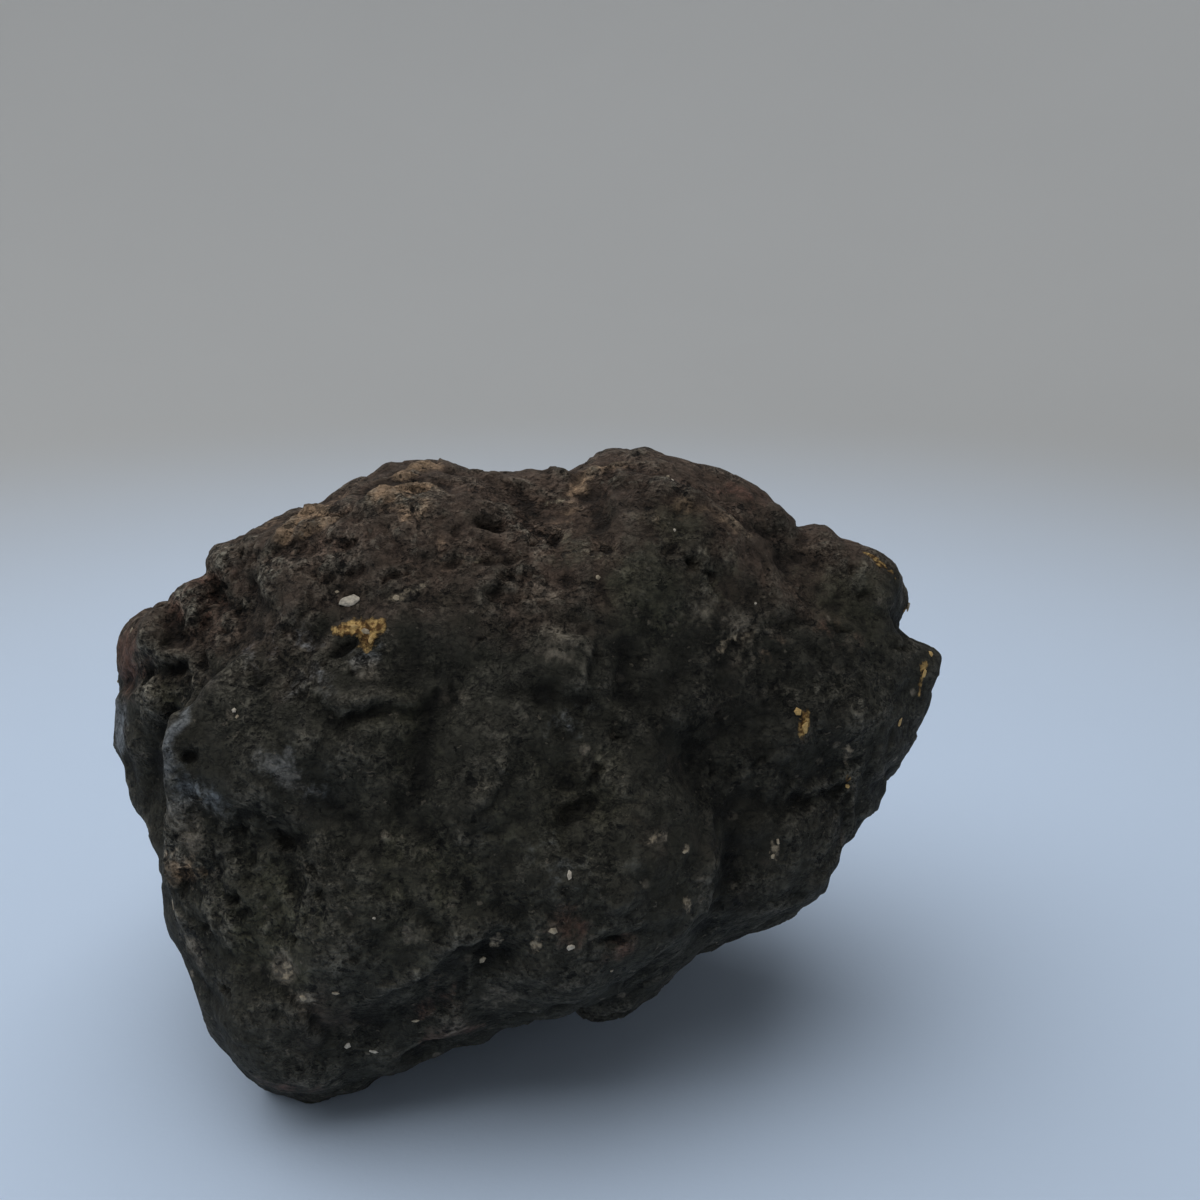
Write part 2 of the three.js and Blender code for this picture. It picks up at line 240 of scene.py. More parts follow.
# Where the front's rind is crumbly and pitted: place, reach, how much.
FRONT_CRUMBLES = (
    (-32.7, 21.7, 7.5, 1.0), (-26.6, 26.3, 6.5, 0.8), (-40.6, 18.4, 6.5, 0.9), (-41.1, 10.5, 6.0, 0.9),
    (-21.7, 23.0, 6.0, 0.6), (-25.5, 12.5, 7.5, 0.55), (-14.0, 29.7, 6.0, 0.75), (-0.7, 26.4, 7.0, 0.8),
    (13.4, 34.7, 6.0, 0.5), (18.5, 26.1, 5.0, 0.3), (-37.9, -8.4, 6.0, 0.8), (-33.5, -14.0, 5.0, 0.5),
    (26.5, 17.1, 4.5, 0.5), (40.9, 23.5, 5.0, 0.4), (-24.6, -5.3, 3.5, 0.4), (36.5, -1.5, 4.0, 0.4),
    (-20.0, -27.0, 6.0, 0.15), (-29.0, -10.0, 9.0, 0.45), (-12.0, -13.0, 9.0, 0.3),
    (24.0, 8.0, 9.0, 0.2), (34.0, 8.0, 8.0, 0.2),
)

# Coloured patches on the front by tint: place, reach, strength. Some are painted light: sheen in the
# slate patches, highlights in the tan ones and shade in the dark ones.
FRONT_TINTS = {
    # bluish patches; on the fin and the left edge they are partly painted sheen
    "slate": (
        (-36.9, 0.0, 2.6, 0.55), (-37.6, -3.6, 2.4, 0.45), (-34.0, -2.0, 2.2, 0.45),
        (-26.2, 1.6, 3.4, 0.45), (-22.6, -0.4, 3.0, 0.25), (-26.0, 15.0, 4.5, 0.3),
        (-31.5, 13.4, 4.0, 0.3), (-22.6, 10.0, 4.0, 0.3), (-48.0, 6.6, 3.0, 0.8),
        (10.7, -8.6, 5.5, 0.12), (3.0, -8.9, 5.0, 0.25), (-17.1, 13.1, 2.6, 0.5), (4.3, 5.9, 4.5, 0.25),
        (38.7, 22.9, 5.0, 0.12),
    ),
    "rust": (
        (-47.2, 15.4, 5.0, 0.9), (-38.1, 21.8, 4.5, 0.7), (3.6, -15.9, 2.4, 0.7),
        (9.4, -18.7, 2.2, 0.5), (-9.3, -27.5, 4.0, 0.5), (-27.7, -34.0, 4.0, 0.6),
        (26.0, 32.9, 4.0, 0.6), (35.8, 15.3, 4.0, 0.4), (-10.0, -25.6, 5.0, 0.4),
    ),
    "olive": (
        (38.0, 20.0, 7.0, 0.7), (-28.8, -14.9, 8.0, 0.8), (-13.9, 5.3, 6.0, 0.5),
        (4.0, -4.0, 10.0, 0.5), (-12.0, -12.0, 10.0, 0.5), (-25.0, -20.2, 2.0, 1.0),
        (-41.2, 8.8, 3.0, 0.8), (6.4, 25.7, 5.0, 0.5), (17.5, 28.0, 4.5, 0.9), (13.7, 21.3, 6.0, 0.9),
        (20.0, 22.0, 5.0, 0.7),
    ),
    # sandy patches on the terraces, partly painted highlight
    "tan": (
        (-28.8, 30.3, 4.0, 0.41), (-22.6, 32.3, 3.2, 0.36), (-14.9, 32.8, 4.0, 0.41),
        (-20.4, 35.2, 4.0, 0.23), (-9.5, 25.2, 3.2, 0.23), (4.3, 29.9, 4.0, 0.27),
        (14.9, 28.2, 4.0, 0.23), (-38.2, -9.5, 2.9, 0.64), (27.1, 14.2, 2.9, 0.25),
    ),
    "pale": (
        (3.5, 14.6, 3.0, 0.7), (1.9, 19.2, 2.5, 0.5), (-8.5, 8.3, 2.4, 0.4), (-0.8, 23.9, 3.0, 0.4),
        (19.4, 19.2, 2.5, 0.5), (24.1, 15.9, 3.2, 0.8), (28.5, 9.1, 2.5, 0.4), (-26.5, -20.1, 1.9, 1.0),
        (-37.0, -5.1, 3.2, 0.8), (-5.3, -0.4, 2.5, 0.35), (18.4, 23.7, 4.0, 0.4),
        (-11.8, -15.9, 3.0, 0.35), (13.2, -6.9, 1.6, 0.4), (-24.6, -23.1, 1.2, 1.0),
        (-44.0, -11.4, 1.2, 0.9), (-37.4, -18.5, 1.8, 0.8), (-21.3, 20.6, 1.4, 0.7),
        (-17.0, 11.8, 2.0, 0.6), (-26.0, 1.2, 4.0, 0.35), (-8.8, -27.4, 2.6, 0.45),
        (-4.0, -24.0, 4.0, 0.4), (3.0, -21.5, 4.0, 0.35),
    ),
    # dark patches on the front: painted shade in the valleys, hollows, pits and shaded slopes
    "soot": (
        (16.5, 7.0, 8.0, 0.9), (11.0, 13.0, 5.0, 0.7), (22.0, -2.5, 6.0, 0.9), (18.4, -3.5, 3.0, 0.5),
        (-0.9, 9.4, 4.0, 0.35), (-21.2, -1.1, 3.5, 0.5), (-11.7, -1.3, 3.2, 0.5),
        (-6.0, -3.8, 3.5, 0.5), (29.0, -2.8, 5.0, 0.8), (23.5, -9.0, 4.5, 0.8), (22.3, -15.0, 3.5, 0.8),
        (-17.5, 11.0, 3.0, 0.5), (-4.0, 28.9, 1.3, 0.8), (3.4, 27.0, 1.1, 0.8), (27.0, 6.0, 12.0, 0.75),
        (18.0, 26.0, 8.0, 0.75), (13.0, 31.0, 7.0, 0.75), (22.0, 12.0, 9.0, 0.8),
        (34.0, 13.0, 7.0, 0.7), (-1.0, 2.0, 9.0, 0.25), (-19.7, 13.8, 1.4, 0.4), (18.9, 23.4, 1.0, 0.8),
        (-39.6, 13.1, 1.3, 0.6), (-37.5, 17.5, 2.4, 0.5), (-40.6, 7.6, 2.0, 0.6),
        (37.0, 21.0, 7.0, 0.45), (30.5, 27.5, 4.0, 0.35), (17.5, 28.0, 3.0, 0.4),
        (13.0, 20.0, 5.0, 0.5),
    ),
}

# Coloured edges on the front by tint or crust: reach, strength, and the places they pass. Some are
# painted light: sheen on the slate edges, highlights on the tan ones, shadow on the dark ones and rim
# light on the ochre ones.
FRONT_STRIPES = {
    # painted bluish sheen along the fin's edge and the left rim, over a bluish tone
    "slate": (
        (0.9, 0.7, ((-37.2, 8.6), (-37.4, 6.7), (-38.1, 4.0), (-38.3, 1.4), (-38.2, -2.4))),
        (2.0, 1.1, ((-49.8, 12.0), (-49.6, 9.0), (-48.8, 6.4), (-47.0, 3.9))),
    ),
    "rust": (
        (2.0, 0.5, ((-13.4, -29.4), (-9.2, -28.0), (-5.1, -27.6))),
        (1.8, 1.0, ((-49.7, 20.0), (-49.8, 16.8), (-48.0, 14.0))),
    ),
    # sandy bands on the terraces' upper edges, partly painted highlight where the edges catch the light
    "tan": (
        (1.7, 1.1, ((-29.4, 26.4), (-27.6, 27.9), (-26.2, 29.6), (-24.1, 30.6), (-20.9, 30.6))),
        (1.1, 0.9, ((-25.6, 27.7), (-23.5, 28.5), (-21.5, 29.3))),
        (1.7, 1.1, (
            (-18.9, 30.0), (-17.9, 31.0), (-16.0, 32.7), (-13.3, 33.2), (-10.8, 33.1), (-9.2, 32.4),
        )),
        (2.6, 0.6, ((-17.0, 30.5), (-13.0, 31.4), (-10.0, 30.6))),
        (1.3, 0.8, ((-15.5, 34.3), (-13.9, 36.4), (-12.2, 37.4), (-9.4, 36.7))),
        (1.2, 0.8, ((3.5, 32.0), (5.8, 33.7), (7.8, 35.4), (10.4, 36.7), (13.6, 36.4))),
        (1.4, 0.45, ((14.1, 31.9), (16.4, 31.8), (18.9, 30.5), (21.7, 29.5), (24.3, 28.0), (27.2, 25.8))),
    ),
    # painted shadow in the creases under the terraces, in the folds and under the brow
    "soot": (
        (0.7, 0.9, ((-31.0, 29.6), (-28.3, 31.2), (-25.6, 32.2), (-22.6, 32.4), (-19.6, 32.6))),
        (0.7, 1.0, ((-19.6, 31.4), (-17.6, 33.0), (-15.8, 34.2), (-13.5, 34.9), (-10.2, 34.9))),
        (0.9, 0.7, (
            (-16.5, -24.2), (-13.4, -23.0), (-10.5, -21.6), (-7.9, -19.8), (-6.0, -18.4), (-2.6, -17.6),
        )),
        (0.7, 0.7, ((7.1, -17.9), (11.5, -17.1), (15.8, -16.2))),
        (0.6, 0.5, ((-23.0, 7.8), (-21.2, 6.6), (-19.0, 6.3), (-17.0, 7.1), (-15.4, 7.2))),
    ),
    # painted rim light along the upper right and right edges, in ochre, drawn through the ochre crust
    "ochre": (
        (0.5, 1.0, ((40.4, 26.2), (42.4, 24.9), (44.9, 23.1))),
        (0.55, 1.0, ((48.2, 22.2), (49.0, 20.2), (49.0, 18.2))),
        (0.6, 1.0, ((48.5, 13.6), (47.4, 11.4), (47.1, 9.3), (46.9, 7.4))),
    ),
}

# Soft mineral crusts on the front by kind: place, half width, half height, turn in degrees.
FRONT_CRUSTS = {
    "ochre": (
        (-18.6, 16.3, 2.3, 0.75, 8), (-17.3, 15.2, 0.9, 1.3, -12), (-16.1, 16.3, 0.8, 0.6, 40),
        (31.1, 5.4, 0.5, 1.3, -14), (36.9, -1.2, 0.35, 0.35, 0), (35.6, -11.4, 1.0, 0.3, 30),
    ),
    "cream": (
        (-13.9, 19.8, 0.9, 0.5, 14), (-12.0, 20.6, 1.0, 0.3, 20), (36.6, 1.8, 0.5, 0.9, 0),
        (-26.5, -20.1, 0.8, 0.9, 0), (-3.9, -17.4, 0.5, 0.8, -25), (0.4, -17.9, 0.5, 0.8, -25),
        (16.5, -8.3, 0.6, 0.4, 10), (13.2, -6.9, 0.8, 0.35, 30), (16.8, -14.2, 0.35, 0.9, 8),
        (27.6, -9.0, 0.45, 1.0, 10), (24.3, 15.2, 1.3, 0.4, 10), (21.9, 14.0, 0.5, 0.9, -30),
        (3.4, 31.6, 1.2, 0.3, 12), (-6.2, 24.0, 1.2, 0.3, -8), (-31.0, 33.0, 0.9, 0.5, 30),
    ),
}

# Hard chips in the front: kind, place, half width, half height, turn in degrees.
FRONT_CHIPS = (
    ("chalk", -19.5, 19.4, 1.4, 0.8, 14), ("cream", -14.3, 19.5, 0.42, 0.38, 30),
    ("cream", -20.9, 20.5, 0.3, 0.2, 0), ("chalk", -31.6, 7.6, 0.35, 0.32, 20),
    ("cream", -31.2, 6.9, 0.2, 0.3, -20), ("cream", -46.5, 17.9, 0.25, 0.4, 10),
    ("cream", -21.1, -22.6, 0.5, 0.25, -6), ("cream", -24.6, -23.1, 0.45, 0.5, 0),
    ("chalk", -20.4, -29.0, 0.38, 0.36, 0), ("chalk", -17.7, -29.9, 0.62, 0.2, -18),
    ("cream", -12.9, -26.4, 0.45, 0.2, 10), ("cream", -5.4, -19.5, 0.35, 0.45, -30),
    ("chalk", -16.5, -14.5, 0.26, 0.18, 0), ("cream", -40.0, -13.5, 0.2, 0.7, 4),
    ("chalk", 4.0, -10.4, 0.24, 0.66, -6), ("cream", 2.2, -16.3, 0.5, 0.42, 10),
    ("chalk", 4.0, -18.1, 0.52, 0.38, 24), ("cream", 8.5, -21.1, 0.22, 0.2, 0),
    ("cream", 16.6, -8.5, 0.42, 0.2, 14), ("cream", 27.9, -8.0, 0.24, 0.4, 16),
    ("cream", 27.3, -9.6, 0.25, 0.35, -10), ("cream", 7.9, 21.7, 0.34, 0.28, 0),
    ("chalk", 17.1, 33.9, 0.2, 0.32, 0), ("chalk", 16.8, 27.3, 0.2, 0.22, 0),
    ("chalk", 26.0, 19.0, 0.2, 0.2, 0), ("ochre", 30.4, 6.5, 0.45, 0.55, 20),
    ("ochre", 31.2, 4.8, 0.38, 0.8, -12), ("ochre", 43.8, 5.4, 0.36, 0.8, -8),
    ("cream", -17.6, 15.9, 0.6, 0.35, -25), ("ochre", -17.0, 14.9, 0.35, 0.6, -10),
    ("ochre", -18.9, 16.5, 0.5, 0.3, 10), ("ochre", 36.9, -2.0, 0.28, 0.28, 0),
    ("ochre", 48.4, 13.6, 0.4, 0.5, 0), ("ochre", 47.3, 11.2, 0.35, 0.6, -12),
    ("cream", 48.9, 20.0, 0.3, 0.8, -8),
)

# Tints of the rind, and how strong their patches are away from the front.
TINTS = {"slate": 0.3, "rust": 0.6, "olive": 0.6, "tan": 0.45, "pale": 0.5, "soot": 0.5}
CHIP_KINDS = ("cream", "ochre", "chalk")

# A made-up crease or ledge has one of these forms, and a wrinkle one of the finer ones.
CREASE_KINDS = ("groove", "groove", "ledge", "ledge", "ridge")
WRINKLE_KINDS = ("groove", "groove", "ledge", "ridge")

# Finer spikes of the rind are cut off at this height.
SPIKE_HEIGHT = 0.2

# Lines and hollows are drawn on places that wander off by this reach, in forms of this size, seed.
WANDER = ((0.75, 4.5, 3), (0.32, 1.7, 4))
RAGGED = (0.3, 0.95, 8)

# On the front, and on the lower edge below this height, only told forms are worked. These are the
# least shares of a surface's facing that point out of the front there.
LOWER_EDGE = -17.0
FACES_FRONT = 0.25
FACES_EDGE = -0.6

# Blender's noise seldom passes 0.6, so it is made stronger by this much. Without a seed, the noise
# that bends lines and lumps would be another one each time.
NOISE_GAIN = 1.6
NOISE_SEED = 2


# ---------------------------------------------------------------- measuring and noise


def to_front(points):
    """Metres in the row's frame to millimetres right, up and out on the stone's front."""
    return (points - HEART) @ FRONT_AXES.T / MM


def from_front(points):
    """Millimetres right, up and out on the stone's front to metres in the row's frame."""
    return HEART + points @ FRONT_AXES * MM


def mesh_places(mesh):
    """The places of a mesh's points, one to a row."""
    flat = np.empty(len(mesh.vertices) * 3)
    mesh.vertices.foreach_get("co", flat)
    return flat.reshape(-1, 3)


def mesh_edges(mesh):
    """The numbers of the two points of each of a mesh's edges, one edge to a row."""
    flat = np.empty(len(mesh.edges) * 2, dtype=np.int64)
    mesh.edges.foreach_get("vertices", flat)
    return flat.reshape(-1, 2)


def triangles(mesh):
    """How many triangles a mesh's faces make."""
    return sum(len(face.vertices) - 2 for face in mesh.polygons)


def evened(values, edges, times):
    """Values averaged with their neighbours', so many times over."""
    grid = values.reshape(len(values), -1).copy()
    count = 1 + np.bincount(edges.ravel(), minlength=len(grid))
    for _ in range(times):
        total = grid.copy()
        for column in range(grid.shape[1]):
            total[:, column] += np.bincount(edges[:, 0], grid[edges[:, 1], column], len(grid))
            total[:, column] += np.bincount(edges[:, 1], grid[edges[:, 0], column], len(grid))
        grid = total / count[:, None]
    return grid.reshape(values.shape)


def unit(vectors):
    """Vectors of length 1 that point the same ways."""
    return vectors / np.maximum(np.linalg.norm(vectors, axis=1), 1e-9)[:, None]


def along(vectors, ways):
    """How far each vector reaches along its own way."""
    return np.einsum("ij,ij->i", vectors, ways)


def turned_axes(out, turn):
    """Two ways along a surface that faces out, turned from the level line by turn degrees."""
    level = unit(np.cross((0.0, 1.0, 0.0), out)[None])[0]
    upward = np.cross(out, level)
    angle = math.radians(turn)
    return (
        level * math.cos(angle) + upward * math.sin(angle),
        upward * math.cos(angle) - level * math.sin(angle),
    )


def smooth_step(low, high, value):
    """0 up to low and 1 from high on, with a smooth rise between them."""
    t = np.clip((value - low) / (high - low), 0.0, 1.0)
    return t * t * (3.0 - 2.0 * t)


def bell(distance):
    """1 in the middle, falling off smoothly with distance."""
    return np.exp(-(distance**2))


def shift_of(seed, steps):
    """Where in the noise a seed reads it: this many steps from the start."""
    return Vector([seed * step for step in steps])


def grain(points, size, seed):
    """Smooth noise from about -1 to 1 whose forms are about size across."""
    shift = shift_of(seed, (17.31, -5.7, 11.9))
    return np.array([noise.noise(Vector(p) / size + shift) for p in points]) * NOISE_GAIN


def drift(points, size, seed):
    """A smooth wandering, from about -1 to 1 in each direction."""
    shift = shift_of(seed, (7.13, 3.7, -9.1))
    return np.array([noise.noise_vector(Vector(p) / size + shift) for p in points]) * NOISE_GAIN


def pushed_about(points, *steps):
    """Points pushed about by noise: each step is its reach, the size of its forms and its seed."""
    places = points
    for reach, size, seed in steps:
        places = places + reach * drift(points, size, seed)
    return places


def domes(points, size, seed):
    """Distance from the nearest of scattered centres, in shares of size."""
    shift = shift_of(seed, (3.3, 8.9, -4.1))
    return np.array([noise.voronoi(Vector(p) / size + shift)[0][0] for p in points])


def flakes(points, size, seed):
    """Small flat chips, each tilted its own way, as heights from about -0.5 to 0.5."""
    shift = shift_of(seed, (5.9, -2.3, 7.7))
    apart = 91.7
    heights = []
    for point in points:
        place = Vector(point) / size + shift
        centre = noise.voronoi(place)[1][0]
        tilt = noise.cell_vector(centre * apart) * 2.0 - Vector((1.0, 1.0, 1.0))
        heights.append((place - centre).dot(tilt))
    return np.array(heights)


def folds(points, size, seed, soft):
    """Rounded folds with sharp creases between them, from -0.5 in the creases up."""
    return np.sqrt(np.abs(grain(points, size, seed)) + soft) - 0.5


# ---------------------------------------------------------------- the stone's surface


def line_form(kind, distance, side):
    """The height across a line, from 0 distance on it to 1 at its reach. The left side is +."""
    if kind == "groove":
        return -((1.0 - distance) ** 1.5)
    if kind == "ridge":
        return (1.0 - distance**2) ** 2
    lip, sunk = 0.14, 0.8
    signed = distance * side
    ledge = np.tanh(signed / lip) * (1.0 - distance) ** 1.4
    return np.where(signed < 0.0, ledge * sunk, ledge)


class Surface:
    """The stone's mesh while it is worked, in millimetres on its front's axes."""

    def __init__(self, mesh, calm):
        self.mesh = mesh
        self.edges = mesh_edges(mesh)
        self.points = to_front(mesh_places(mesh))
        self.read(calm)

    def read(self, calm):
        """Takes the facing of the surface, evened out calm times, and ways to find places on it."""
        self.write()
        flat = np.empty(len(self.mesh.vertices) * 3)
        self.mesh.vertices.foreach_get("normal", flat)
        facing = flat.reshape(-1, 3) @ FRONT_AXES.T
        self.facing = unit(evened(facing, self.edges, calm))
        faces = [tuple(face.vertices) for face in self.mesh.polygons]
        self.tree = BVHTree.FromPolygons([tuple(p) for p in self.points], faces)
        self.index = KDTree(len(self.points))
        for number, place in enumerate(self.points):
            self.index.insert(place, number)
        self.index.balance()
        self.wandered = pushed_about(self.points, *WANDER)
        reach, size, seed = RAGGED
        self.ragged = self.wandered + reach * drift(self.points, size, seed)

    def write(self):
        """Puts the points back into the mesh."""
        self.mesh.vertices.foreach_set("co", from_front(self.points).ravel())
        self.mesh.update()

    def raise_by(self, height):
        """Moves the points out of the surface by these heights."""
        self.points = self.points + self.facing * height[:, None]

    def blunt(self, limit):
        """Takes back what stands more than limit proud of its neighbours."""
        mean = evened(self.points, self.edges, 2)
        proud = along(self.points - mean, self.facing)
        self.raise_by(-np.clip(proud - limit, 0.0, None))

    def settle(self):
        """Brings what would sink into the table up to it."""
        places = from_front(self.points)
        places[:, 2] = np.maximum(places[:, 2], 0.0)
        self.points = to_front(places)

    def nearest(self, place):
        """The number of the point nearest to a place."""
        return self.index.find(Vector(place))[1]

    def within(self, centre, reach):
        """The numbers of the points within reach of a place."""
        found = self.index.find_range(Vector(centre), reach)
        return np.array([item[1] for item in found], dtype=np.int64)

    def told(self, place):
        """Whether a place is on the front or the lower edge, whose forms are all told."""
        outward = self.facing[self.nearest(place)][2]
        return outward > FACES_FRONT or (place[1] < LOWER_EDGE and outward > FACES_EDGE)

    def place_on_front(self, right, up):
        """The place on the front at (right, up), or the nearest to it just off the edge."""
        outside = 120.0
        hit = self.tree.ray_cast(Vector((right, up, outside)), Vector((0.0, 0.0, -1.0)))[0]
        if hit is None:
            hit = self.tree.find_nearest(Vector((right, up, 0.0)))[0]
        return np.array(hit)

    def front_path(self, corners):
        """A line over the front through these corners, as places about a millimetre apart."""
        step = 0.9
        path = []
        for (r0, u0), (r1, u1) in zip(corners, corners[1:]):
            count = max(1, round(math.hypot(r1 - r0, u1 - u0) / step))
            path += [(r0 + (r1 - r0) * i / count, u0 + (u1 - u0) * i / count) for i in range(count)]
        path.append(corners[-1])
        return np.array([self.place_on_front(r, u) for r, u in path])

    def walk(self, start, length, step, turn, dice):
        """A line that wanders over the surface from start, turning by about turn at each step."""
        where = Vector(start)
        normal = self.tree.find_nearest(where)[1]
        way = normal.cross(Vector([dice.gauss(0, 1) for _ in range(3)])).normalized()
        path = [where.copy()]
        for _ in range(max(2, int(length / step))):
            side = normal.cross(way)
            angle = dice.gauss(0, turn)
            way = (way * math.cos(angle) + side * math.sin(angle)).normalized()
            where, normal = self.tree.find_nearest(where + way * step)[:2]
            way = (way - normal * way.dot(normal)).normalized()
            path.append(where.copy())
        return np.array(path)

    def near_path(self, path, reach):
        """Points within reach of a path: which, distance, side (left is +) and fade at the ends."""
        low, high = path.min(axis=0) - reach, path.max(axis=0) + reach
        which = np.flatnonzero(((self.wandered > low) & (self.wandered < high)).all(axis=1))
        points = self.wandered[which]
        best = np.full(len(which), np.inf)
        side = np.zeros(len(which))
        run = np.zeros(len(which))
        lengths = np.linalg.norm(np.diff(path, axis=0), axis=1)
        begun = np.concatenate(((0.0,), np.cumsum(lengths)))
        for start, end, length, before in zip(path, path[1:], lengths, begun):
            if length < 1e-6:
                continue
            way = (end - start) / length
            offset = points - start
            t = np.clip(offset @ way, 0.0, length)
            gap = np.linalg.norm(offset - t[:, None] * way, axis=1)
            nearer = gap < best
            across = along(np.cross(way, offset), self.facing[which])
            side[nearer] = np.sign(across[nearer])
            run[nearer] = (before + t[nearer]) / begun[-1]
            best[nearer] = gap[nearer]
        keep = best < reach
        tapered, least = 0.18, 0.25
        fade = np.minimum(np.minimum(run, 1.0 - run) / tapered, 1.0)
        fade = least + (1.0 - least) * smooth_step(0.0, 1.0, fade)
        return which[keep], best[keep] / reach, side[keep], fade[keep]

    def work_line(self, height, kind, reach, rise, path):
        """Adds a line's form to the heights."""
        which, distance, side, fade = self.near_path(path, reach)
        height[which] += line_form(kind, distance, side) * fade * rise

    def work_hollow(self, height, centre, wide, tall, turn, depth, steep=1.3):
        """A bowl with an oval mouth; turn is from the level line, in degrees."""
        searched = 1.625
        which = self.within(centre, searched * max(wide, tall))
        if not len(which):
            return
        nearest = self.nearest(centre)
        first, second = turned_axes(self.facing[nearest], turn)
        offset = self.ragged[which] - self.ragged[nearest]
        distance = np.hypot(offset @ first / wide, offset @ second / tall)
        height[which] -= depth * np.clip(1.0 - distance**2, 0.0, 1.0) ** steep

    def oval(self, centre, wide, tall, turn):
        """1 well inside an oval drawn on the surface, fading to 0 at twice its size."""
        weight = np.zeros(len(self.points))
        which = self.within(centre, 1.9 * max(wide, tall) + 1.0)
        first, second = turned_axes((0.0, 0.0, 1.0), turn)
        offset = self.points[which] - centre
        distance = np.hypot(offset @ first / wide, offset @ second / tall)
        weight[which] = np.clip(1.6 - 0.8 * distance, 0.0, 1.0)
        return weight


def blank(name):
    """A smooth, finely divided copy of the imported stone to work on."""
    skin = bmesh.new()
    skin.from_mesh(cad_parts[NODE].data)
    bmesh.ops.remove_doubles(skin, verts=skin.verts, dist=1e-6)
    for _ in range(2):
        bmesh.ops.subdivide_edges(skin, edges=skin.edges, cuts=1, use_grid_fill=True)
    for _ in range(7):
        bmesh.ops.smooth_vert(
            skin, verts=skin.verts, factor=0.5,
            use_axis_x=True, use_axis_y=True, use_axis_z=True,
        )
    mesh = bpy.data.meshes.new(name)
    skin.to_mesh(mesh)
    skin.free()
    return mesh


def remeshed(mesh, size):
    """The mesh as an even skin of small square faces, size millimetres across."""
    piece = bpy.data.objects.new(mesh.name, mesh)
    bpy.context.collection.objects.link(piece)
    cover = piece.modifiers.new("even skin", "REMESH")
    cover.mode = "VOXEL"
    cover.voxel_size = size * MM
    cover.adaptivity = 0.0
    bpy.context.view_layer.update()
    graph = bpy.context.evaluated_depsgraph_get()
    even = bpy.data.meshes.new_from_object(piece.evaluated_get(graph))
    bpy.data.objects.remove(piece)
    bpy.data.meshes.remove(mesh)
    return even


def crumble_of(surface):
    """How crumbly the rind is at each place, from 0 where it is smooth to 1."""
    points, facing = surface.points, surface.facing
    wild = 0.5 + 0.5 * grain(points, 17.0, 21)
    behind = smooth_step(0.2, -0.3, facing[:, 2])
    above = smooth_step(-0.6, 0.0, facing @ FRONT_AXES[:, 2])
    crumble = behind * (0.25 + 0.6 * wild) * (0.3 + 0.7 * above)
    for right, up, reach, amount in FRONT_CRUMBLES:
        gap = np.linalg.norm(points - surface.place_on_front(right, up), axis=1)
        crumble = np.maximum(crumble, amount * bell(gap / reach))
    return np.clip(crumble + 0.14 + 0.2 * (wild - 0.5), 0.05, 1.0)


def lumps(surface, shape):
    """Rounded lumps and folds of several sizes all over."""
    crumble = crumble_of(surface)
    pushed = pushed_about(surface.points, (2.2, 9.0, 5))
    bent = pushed_about(surface.points, (1.2, 6.0, 6))
    height = shape.lump_height * (0.3 + 0.6 * crumble) * (0.55 - domes(pushed, 9.5, 1) ** 2)
    height += shape.lump_height * 0.7 * folds(bent, 7.5, 7, soft=0.02) * (0.3 + 0.7 * crumble)
    height += shape.lump_height * 0.5 * crumble * (0.5 - domes(pushed, 4.2, 2) ** 2)
    height += shape.flake_height * 1.5 * flakes(pushed, 6.5, 1)
    return height


def forms(surface, shape, dice):
    """The larger lines and hollows: those told for the front, and made-up ones all round."""
    height = lumps(surface, shape)
    for kind, reach, rise, corners in FRONT_LINES:
        surface.work_line(height, kind, reach, rise, surface.front_path(corners))
    for right, up, *bowl in FRONT_HOLLOWS:
        surface.work_hollow(height, surface.place_on_front(right, up), *bowl)
    for _ in range(shape.crease_count):
        start = surface.points[dice.randrange(len(surface.points))]
        size = 0.3 if surface.told(start) else 1.0
        path = surface.walk(start, dice.uniform(6.0, 26.0) * size, 1.4, 0.24, dice)
        kind = dice.choice(CREASE_KINDS)
        reach = dice.uniform(1.5, 4.2) * (0.5 + 0.5 * size)
        surface.work_line(height, kind, reach, dice.uniform(0.7, 1.9) * size, path)
    for _ in range(shape.crease_count):
        start = surface.points[dice.randrange(len(surface.points))]
        if surface.told(start):
            continue
        wide = dice.uniform(1.6, 4.6)
        tall = wide * dice.uniform(0.5, 0.9)
        turn = dice.uniform(0, 180)
        surface.work_hollow(height, start, wide, tall, turn, dice.uniform(0.6, 1.9))
    return height


def rind(surface, shape, dice):
    """The fine skin: small folds, wrinkles and pits."""
    crumble = crumble_of(surface)
    points = surface.points
    bent = pushed_about(points, (0.9, 3.4, 14))
    height = (0.12 + 0.1 * crumble) * grain(points, 4.0, 11)
    height += (0.05 + 0.09 * crumble) * grain(bent, 1.9, 12)
    height += shape.wrinkle_height * folds(bent, 3.1, 15, soft=0.01) * (0.3 + crumble)
    height += shape.wrinkle_height * 0.6 * folds(bent, 1.6, 18, soft=0.01) * (0.15 + crumble)
    height += shape.flake_height * flakes(bent, 2.9, 2) * (0.3 + 0.9 * crumble)
    height += shape.flake_height * 0.6 * flakes(bent, 1.6, 3) * (0.15 + crumble)
    for right, up, *bowl in FRONT_PITS:
        surface.work_hollow(height, surface.place_on_front(right, up), *bowl, steep=0.8)
    work_wrinkles(surface, shape, dice, height, crumble)
    work_pits(surface, shape, dice, height, crumble)
    return height


